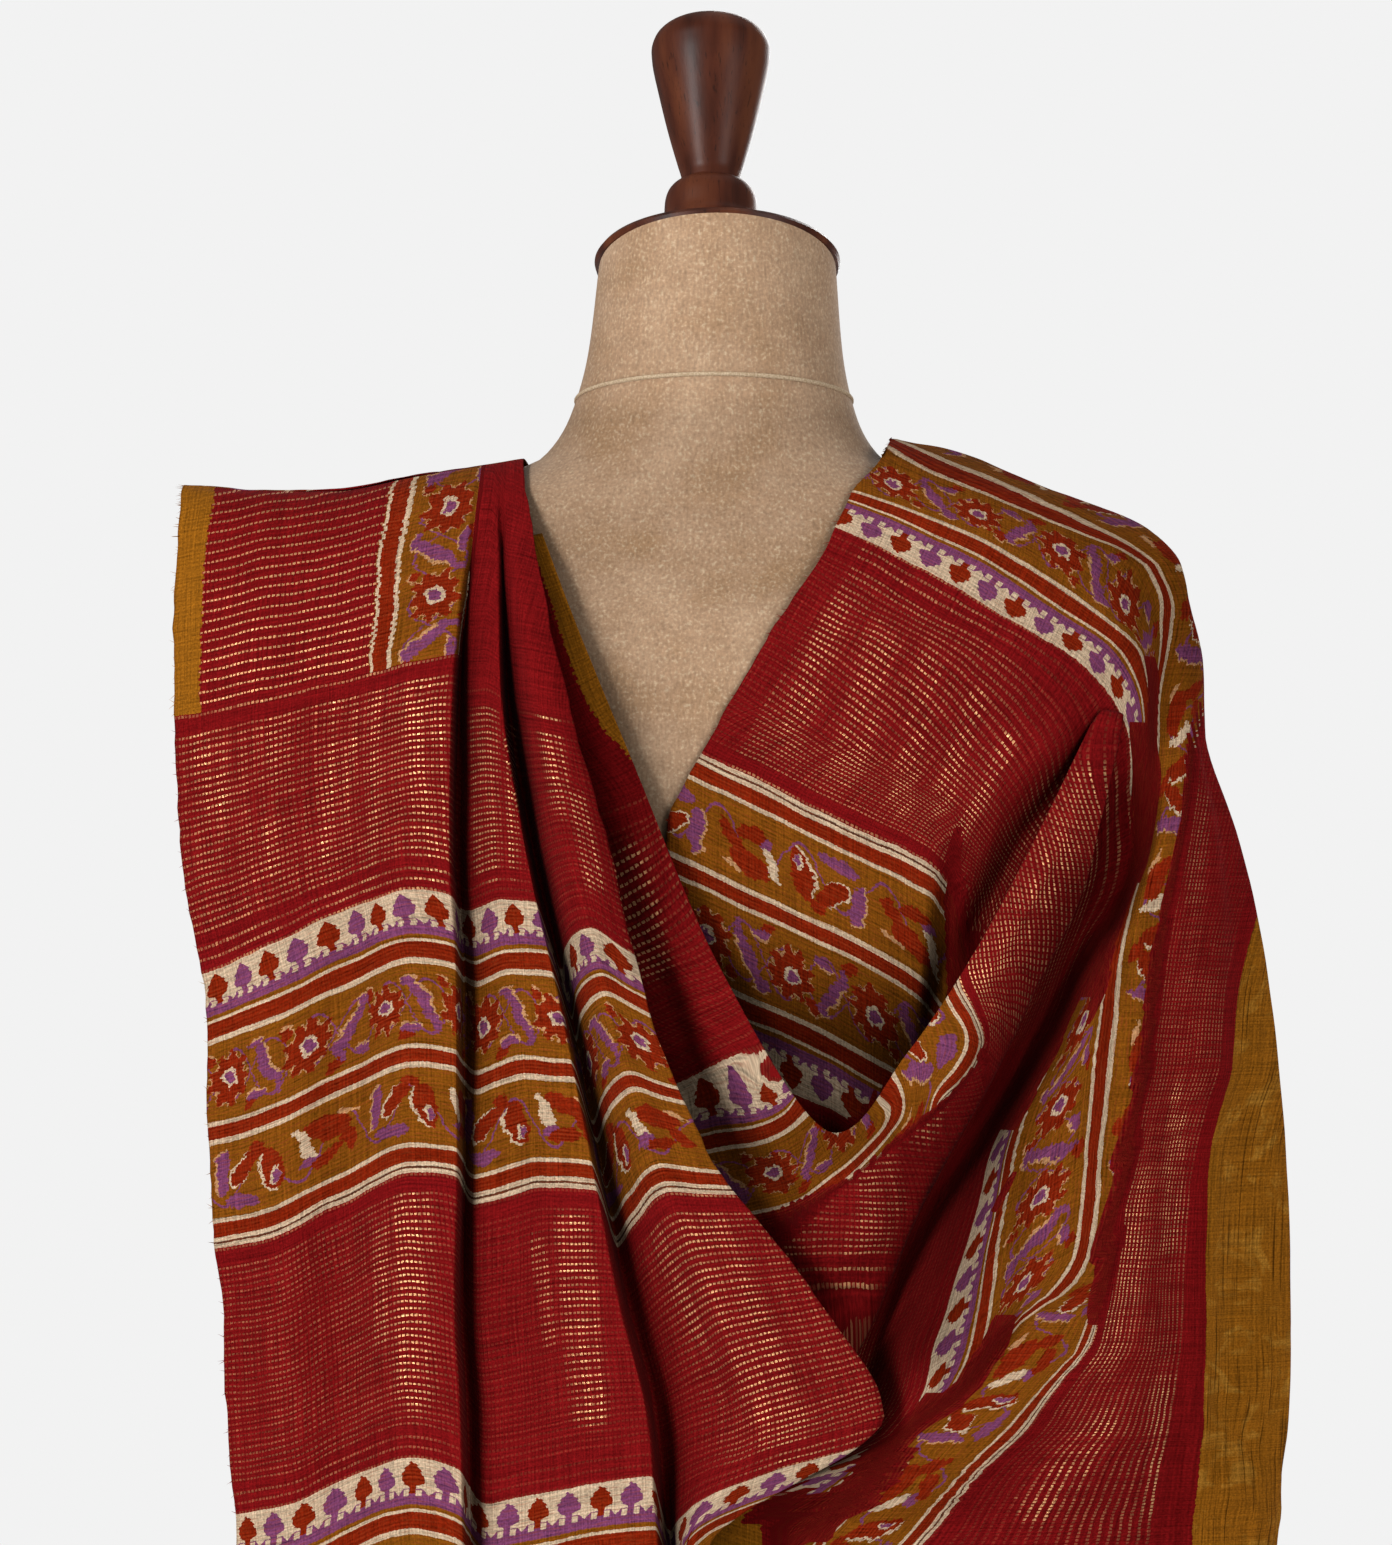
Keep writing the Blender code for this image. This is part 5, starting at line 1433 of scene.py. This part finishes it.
def linen_cord():
    """Twisted linen cord, paler than the cloth that it is sewn into."""
    material, shader, node = new_material("twisted linen cord")
    place = node("TexCoord").outputs["Object"]
    twist = node("TexNoise", place, 1400.0, 1.0)
    tint = node("ValToRGB", twist)
    fill_ramp(tint, [(0.35, rgba("B79C7C")), (0.65, rgba("D9C3A4"))])
    feed_shader(shader, {"Base Color": tint, "Roughness": 0.9})
    return material


def turned_wood(name, tilt):
    """Stained beech, turned and satin lacquered: fine dark pores along the axis and soft highlights."""
    material, shader, node = new_material(name)
    place = node("TexCoord").outputs["Object"]
    axis = node("Mapping", place, None, Euler((tilt, 0.0, 0.0)), (1.0, 1.0, 1.0), vector_type="TEXTURE")
    figure = streaks(node, axis, (60.0, 60.0, 9.0), 4.0)
    tint = node("ValToRGB", figure)
    fill_ramp(tint, [(0.32, rgba("2F1209")), (0.5, rgba("512617")), (0.7, rgba("6A3821"))])
    pore = streaks(node, axis, (900.0, 900.0, 45.0), 2.0)
    dark = node("MapRange", pore, 0.6, 0.72, 0.0, 0.6)
    colour = paint(node, tint, [(dark, rgba("1E0D08"))])
    bump = node("Bump", 0.25, 0.0002, None, pore)
    feed_shader(shader, {"Base Color": colour, "Normal": bump, "Roughness": 0.44, "Coat Weight": 0.05,
                         "Coat Roughness": 0.3, "Specular IOR Level": 0.18})
    return material


def powder_coat():
    """Steel tube under black powder coat: even, slightly pebbled, with a soft shine."""
    material, shader, node = new_material("black powder-coated steel")
    place = node("TexCoord").outputs["Object"]
    pebble = node("TexNoise", place, 900.0, 2.0)
    tint = node("ValToRGB", pebble)
    fill_ramp(tint, [(0.3, rgba("14120F")), (0.7, rgba("24211D"))])
    bump = node("Bump", 0.3, 0.0002, None, pebble)
    feed_shader(shader, {"Base Color": tint, "Normal": bump, "Roughness": 0.42})
    return material


def studio_paper():
    """Seamless studio paper: matt and pale, with the faintest tooth."""
    material, shader, node = new_material("seamless studio paper")
    place = node("TexCoord").outputs["Object"]
    tooth = node("TexNoise", place, 220.0, 2.0)
    tint = node("ValToRGB", tooth)
    fill_ramp(tint, [(0.3, rgba("E9E9E8")), (0.7, rgba("EFEFEE"))])
    feed_shader(shader, {"Base Color": tint, "Roughness": 0.9})
    return material


def form_rings(columns, rows):
    """Girths of the form from its foot to the top of its neck."""
    turn = np.linspace(0.0, 2.0 * math.pi, columns + 1)
    heights = column(FORM_SECTIONS, "z")
    grid = []
    for level in np.linspace(heights[0], heights[-1], rows + 1):
        girth = read_row(FORM_SECTIONS, level)
        x = girth["half_width"] * np.sin(turn)
        y = -girth["half_depth"] * np.cos(turn)
        rise = -y * math.tan(math.radians(girth["tilt"]))
        shift = NECK_CENTRE_X * girth["tilt"] / NECK_TILT
        grid.append(np.stack([x + shift, y + girth["y"], level + rise], axis=1))
    return np.array(grid)


def add_form(material):
    shape = bmesh.new()
    lay_grid(shape, form_rings(144, 240))
    bmesh.ops.remove_doubles(shape, verts=shape.verts, dist=0.0001)
    bmesh.ops.holes_fill(shape, edges=[edge for edge in shape.edges if edge.is_boundary], sides=0)
    bmesh.ops.recalc_face_normals(shape, faces=shape.faces)
    return add_object("linen_form", shape, material, "form_torso", sharp=50.0)


def add_neck_cord(material):
    """The corded seam where the neck is sewn to the shoulders."""
    girth = read_row(FORM_SECTIONS, CORD_HEIGHT)
    tilt = girth["tilt"]
    centre = Vector((NECK_CENTRE_X * tilt / NECK_TILT, float(girth["y"]), CORD_HEIGHT))
    shape = bmesh.new()
    ring = bmesh.ops.create_circle(shape, segments=10, radius=CORD_RADIUS * MM)["verts"]
    bmesh.ops.rotate(shape, verts=ring, cent=(0.0, 0.0, 0.0), matrix=Matrix.Rotation(math.pi / 2.0, 3, "X"))
    bmesh.ops.translate(shape, verts=ring, vec=(1.0, 0.0, 0.0))
    bmesh.ops.spin(shape, geom=shape.verts[:] + shape.edges[:], cent=(0.0, 0.0, 0.0), axis=(0.0, 0.0, 1.0),
                   angle=2.0 * math.pi, steps=128, use_merge=True)
    for vert in shape.verts:
        out = Vector((vert.co.x, vert.co.y, 0.0))
        swell = out.length - 1.0
        out.normalize()
        x = out.x * (girth["half_width"] * MM + swell)
        y = out.y * (girth["half_depth"] * MM + swell)
        z = vert.co.z - y * math.tan(math.radians(tilt))
        vert.co = centre * MM + Vector((x, y, z))
    bmesh.ops.recalc_face_normals(shape, faces=shape.faces)
    return add_object("neck_seam_cord", shape, material, None)


def add_turned(name, profile, place, material, replaced, steps=96):
    """Spin a profile about its axis, and set it in place."""
    shape = bmesh.new()
    verts = [shape.verts.new((radius * MM, 0.0, height * MM)) for radius, height in profile]
    for first, second in zip(verts, verts[1:]):
        shape.edges.new((first, second))
    bmesh.ops.spin(shape, geom=shape.verts[:] + shape.edges[:], cent=(0.0, 0.0, 0.0), axis=(0.0, 0.0, 1.0),
                   angle=2.0 * math.pi, steps=steps, use_merge=True)
    bmesh.ops.remove_doubles(shape, verts=shape.verts, dist=0.00002)
    bmesh.ops.recalc_face_normals(shape, faces=shape.faces)
    bmesh.ops.transform(shape, matrix=place, verts=shape.verts)
    return add_object(name, shape, material, replaced, sharp=42.0)


def smooth_profile(profile, steps=4):
    """Add points between those of a turned profile so that its curves read as curves."""
    radii = [radius for radius, _ in profile]
    heights = [height for _, height in profile]
    result = []
    for i in range(len(profile) - 1):
        flat = i < 1 or i > len(profile) - 3
        for step in range(1 if flat else steps):
            t = i + step / steps
            result.append((float(eased(range(len(radii)), radii, t)),
                           float(eased(range(len(heights)), heights, t))))
    result.append(profile[-1])
    return result


class SariSettings(bpy.types.PropertyGroup):
    red: bpy.props.FloatVectorProperty(
        name="Red ground", description="Colour of the plain red silk", subtype="COLOR", size=3,
        min=0.0, max=1.0, default=linear(PALETTE["red"]))
    wall: bpy.props.FloatProperty(
        name="Cloth wall", description="Thickness of the cloth as it is shown", subtype="DISTANCE",
        unit="LENGTH", default=0.7 * MM, min=0.2 * MM, max=3.0 * MM)
    relief: bpy.props.FloatProperty(
        name="Weave relief", description="Strength of the slubs and threads", subtype="FACTOR",
        default=0.55, min=0.0, max=1.0)
    ruffle: bpy.props.FloatProperty(
        name="Softness", description="Share of the small uneven swells in the cloth", subtype="FACTOR",
        default=0.8, min=0.0, max=2.0)
    dense_spacing: bpy.props.FloatProperty(
        name="Gold rows in the zones", description="Spacing of the gold weft in the red zones, in mm",
        default=3.0, min=1.0, max=20.0)
    sparse_spacing: bpy.props.FloatProperty(
        name="Gold rows in the body", description="Spacing of the gold weft in the body, in mm",
        default=4.5, min=1.0, max=20.0)
    float_pitch: bpy.props.FloatProperty(
        name="Gold float pitch", description="Length of one gold float and its gap, in mm",
        default=2.0, min=0.5, max=10.0)


class StageSettings(bpy.types.PropertyGroup):
    distance: bpy.props.FloatProperty(
        name="Camera distance", description="From the camera to the back of the form",
        subtype="DISTANCE", unit="LENGTH", default=5.93)
    key: bpy.props.FloatProperty(name="Key light", description="Power of the large upper left light",
                                 subtype="POWER", unit="POWER", default=188.0, min=0.0)
    fill: bpy.props.FloatProperty(name="Fill light", description="Power of the light at the right",
                                  subtype="POWER", unit="POWER", default=76.0, min=0.0)
    top: bpy.props.FloatProperty(name="Top light", description="Power of the light from above",
                                 subtype="POWER", unit="POWER", default=4.0, min=0.0)
    back: bpy.props.FloatProperty(name="Back light", description="Power of the light on the far side",
                                  subtype="POWER", unit="POWER", default=120.0, min=0.0)
    room: bpy.props.FloatProperty(name="Room light", description="Strength of the even light of the room",
                                  default=0.2, min=0.0)


class SARI_OT_form(bpy.types.Operator):
    """Build the linen form with its corded neck seam, wooden cap and finial"""
    bl_idname = "sari.form"
    bl_label = "Dress form"

    def execute(self, context):
        add_form(napped_linen())
        add_neck_cord(linen_cord())
        tilt = Matrix.Rotation(math.radians(-NECK_TILT), 4, "X")
        wood = turned_wood("stained beech, turned, along the neck", math.radians(-NECK_TILT))
        top = Vector((NECK_CENTRE_X, NECK_TOP_Y, NECK_TOP_HEIGHT)) * MM
        lift = tilt @ Vector((0.0, 0.0, SEAM * MM))
        place = Matrix.Translation(top + lift) @ tilt
        add_turned("turned_cap", CAP_PROFILE, place, wood, "neck_cap")
        lift = tilt @ Vector((-NECK_CENTRE_X * MM, 0.0, (CAP_THICK + 2.0 * SEAM) * MM))
        place = Matrix.Translation(top + lift) @ tilt
        finial = smooth_profile(FINIAL_PROFILE)
        add_turned("turned_finial", finial, place, wood, "neck_finial")
        return {"FINISHED"}


class SARI_OT_stand(bpy.types.Operator):
    """Build the turned base and the pole, and give the board under the form its wood"""
    bl_idname = "sari.stand"
    bl_label = "Stand"

    def execute(self, context):
        wood = turned_wood("stained beech, turned, upright", 0.0)
        add_turned("turned_base", BASE_PROFILE, Matrix.Identity(4), wood, "stand_base", 128)
        foot = BASE_PROFILE[0][1] + SEAM
        head = FORM_BOTTOM - BOARD_THICK - 2.0 * SEAM
        pole = [(0.0, head), (32.0, head), (32.0, head - 6.0), (POLE_RADIUS, head - 12.0),
                (POLE_RADIUS, foot), (0.0, foot)]
        add_turned("coated_pole", pole, Matrix.Identity(4), powder_coat(), "stand_pole", 64)
        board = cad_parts["form_bottom_board"]
        board.data.materials.clear()
        board.data.materials.append(wood)
        return {"FINISHED"}


class SARI_OT_fall(bpy.types.Operator):
    """Hang the pleated fall of the sari's end piece from the left shoulder"""
    bl_idname = "sari.fall"
    bl_label = "Fall from the left shoulder"

    def execute(self, context):
        settings = context.scene.sari
        points = fall_points(216, 170)
        weave = fall_weave(points)
        points = wander(ruffle(crease(points, FALL_CREASES), settings.ruffle))
        thing = add_cloth("silk_fall", points, weave, settings, "sari_back_fall")
        add_threads("fall_selvedge_threads", points, weave, 3, 120)
        return {"FINISHED"}


class SARI_OT_swag(bpy.types.Operator):
    """Lay the swag that runs from the left shoulder round to the right one"""
    bl_idname = "sari.swag"
    bl_label = "Swag between the shoulders"

    def execute(self, context):
        settings = context.scene.sari
        points = swag_points(200, 60)
        weave = swag_weave(points)
        points = ruffle(crease(points, SWAG_CREASES), settings.ruffle)
        thing = add_cloth("silk_swag", points, weave, settings, "sari_back_swag")
        return {"FINISHED"}


class SARI_OT_right_drape(bpy.types.Operator):
    """Wrap the end piece over the right shoulder and let it hang down the side"""
    bl_idname = "sari.right_drape"
    bl_label = "Right shoulder and side drape"

    def execute(self, context):
        settings = context.scene.sari
        points = right_points(260, 170)
        weave = right_weave(points)
        points = ruffle(crease(points, DRAPE_CREASES), settings.ruffle)
        points = wander(long_folds(points, DRAPE_FOLDS))
        thing = add_cloth("silk_right_drape", points, weave, settings, "sari_right_drape")
        add_threads("drape_selvedge_threads", points, weave, 5, 100)
        return {"FINISHED"}


class SARI_OT_front_band(bpy.types.Operator):
    """Carry the gathered body of the sari up across the front to the left shoulder"""
    bl_idname = "sari.front_band"
    bl_label = "Front band"

    def execute(self, context):
        settings = context.scene.sari
        points = front_points(120, 150)
        weave = front_weave(points)
        points = ruffle(long_folds(points, BAND_FOLDS), settings.ruffle)
        thing = add_cloth("silk_front_band", points, weave, settings, "sari_front_band")
        return {"FINISHED"}


class SARI_OT_skirt(bpy.types.Operator):
    """Wrap the body of the sari round the waist down to its hem"""
    bl_idname = "sari.skirt"
    bl_label = "Skirt"

    def execute(self, context):
        settings = context.scene.sari
        points = skirt_points(SKIRT_FOLDS * 24, 130)
        weave = lower_weave(points, SKIRT_START)
        points = hang(points, settings.ruffle)
        thing = add_cloth("silk_skirt", points, weave, settings, "sari_skirt", closed=True)
        return {"FINISHED"}


class SARI_OT_front_pleats(bpy.types.Operator):
    """Tuck the pleats in at the centre front"""
    bl_idname = "sari.front_pleats"
    bl_label = "Front pleats"

    def execute(self, context):
        settings = context.scene.sari
        points = pleats_points(PLEAT_COUNT * 24, 110)
        weave = lower_weave(points, PLEATS_START)
        points = hang(points, settings.ruffle * 0.5)
        thing = add_cloth("silk_front_pleats", points, weave, settings, "sari_front_pleats")
        return {"FINISHED"}


class SARI_OT_stage(bpy.types.Operator):
    """Set the pale floor, the soft lights and the camera"""
    bl_idname = "sari.stage"
    bl_label = "Stage"

    def execute(self, context):
        scene = context.scene
        stage = scene.sari_stage
        add_floor()
        add_camera(scene, stage)
        add_room(scene, stage)
        add_light("key", (-3.3, -3.4, 3.1), 1.3, stage.key)
        add_light("fill", (3.4, -3.4, 2.2), 2.0, stage.fill)
        add_light("back", (1.2, 4.6, 2.2), 2.4, stage.back)
        add_light("top", (0.4, 0.6, 3.4), 2.0, stage.top)
        scene.view_settings.view_transform = "Standard"
        return {"FINISHED"}


def add_floor():
    shape = bmesh.new()
    bmesh.ops.create_circle(shape, cap_ends=True, segments=96, radius=3.0)
    mesh = bpy.data.meshes.new("studio_floor")
    shape.to_mesh(mesh)
    shape.free()
    mesh.materials.append(studio_paper())
    floor = bpy.data.objects.new("studio_floor", mesh)
    bpy.context.scene.collection.objects.link(floor)


def add_camera(scene, stage):
    """Level camera behind the form, framed as the photograph is."""
    camera = bpy.data.cameras.new("camera")
    camera.sensor_fit = "VERTICAL"
    camera.sensor_height = 24.0
    camera.lens = camera.sensor_height * stage.distance / (PHOTO_HEIGHT * PHOTO_PIXEL * MM)
    eye = bpy.data.objects.new("camera", camera)
    x, z = from_photo(PHOTO_WIDTH / 2.0, PHOTO_HEIGHT / 2.0)
    eye.location = (x * MM, FORM_BACK_Y * MM - stage.distance, z * MM)
    eye.rotation_euler = (math.pi / 2.0, 0.0, 0.0)
    scene.collection.objects.link(eye)
    scene.camera = eye


def add_room(scene, stage):
    """Even pale surroundings, seen as the plain ground of the picture."""
    world = bpy.data.worlds.new("studio")
    scene.world = world
    world.use_nodes = True
    tree = world.node_tree
    tree.nodes.clear()
    node = functools.partial(add_node, tree)
    seen = node("Background", rgba("F2F2F2"), 1.0)
    light = node("Background", rgba("F6F4F1"), stage.room)
    path = node("LightPath")
    mix = node("MixShader", path.outputs["Is Camera Ray"], light, seen)
    node("OutputWorld", mix)


def add_light(name, place, size, power):
    light = bpy.data.lights.new(name, "AREA")
    light.energy = power
    light.size = size
    lamp = bpy.data.objects.new(name, light)
    lamp.location = place
    aim = Vector((0.0, 0.0, LIGHT_AIM * MM)) - Vector(place)
    lamp.rotation_euler = aim.to_track_quat("-Z", "Y").to_euler()
    bpy.context.scene.collection.objects.link(lamp)


STEPS = ("stand", "form", "right_drape", "swag", "front_band", "fall", "skirt", "front_pleats", "stage")


class SARI_PT_panel(bpy.types.Panel):
    """Lists the pieces of the sari and its form"""
    bl_idname = "SARI_PT_panel"
    bl_label = "Sari"
    bl_space_type = "VIEW_3D"
    bl_region_type = "UI"
    bl_category = "Sari"

    def draw(self, context):
        for settings in (context.scene.sari, context.scene.sari_stage):
            for name in settings.__annotations__:
                self.layout.prop(settings, name)
        for step in STEPS:
            self.layout.operator("sari." + step)


CLASSES = (SariSettings, StageSettings, SARI_OT_form, SARI_OT_stand, SARI_OT_fall, SARI_OT_swag,
           SARI_OT_right_drape, SARI_OT_front_band, SARI_OT_skirt, SARI_OT_front_pleats, SARI_OT_stage,
           SARI_PT_panel)


def register():
    for kind in CLASSES:
        bpy.utils.register_class(kind)
    bpy.types.Scene.sari = bpy.props.PointerProperty(type=SariSettings)
    bpy.types.Scene.sari_stage = bpy.props.PointerProperty(type=StageSettings)


def unregister():
    del bpy.types.Scene.sari
    del bpy.types.Scene.sari_stage
    for kind in reversed(CLASSES):
        bpy.utils.unregister_class(kind)


def main():
    register()
    for step in STEPS:
        getattr(bpy.ops.sari, step)()


if __name__ == "__main__":
    main()
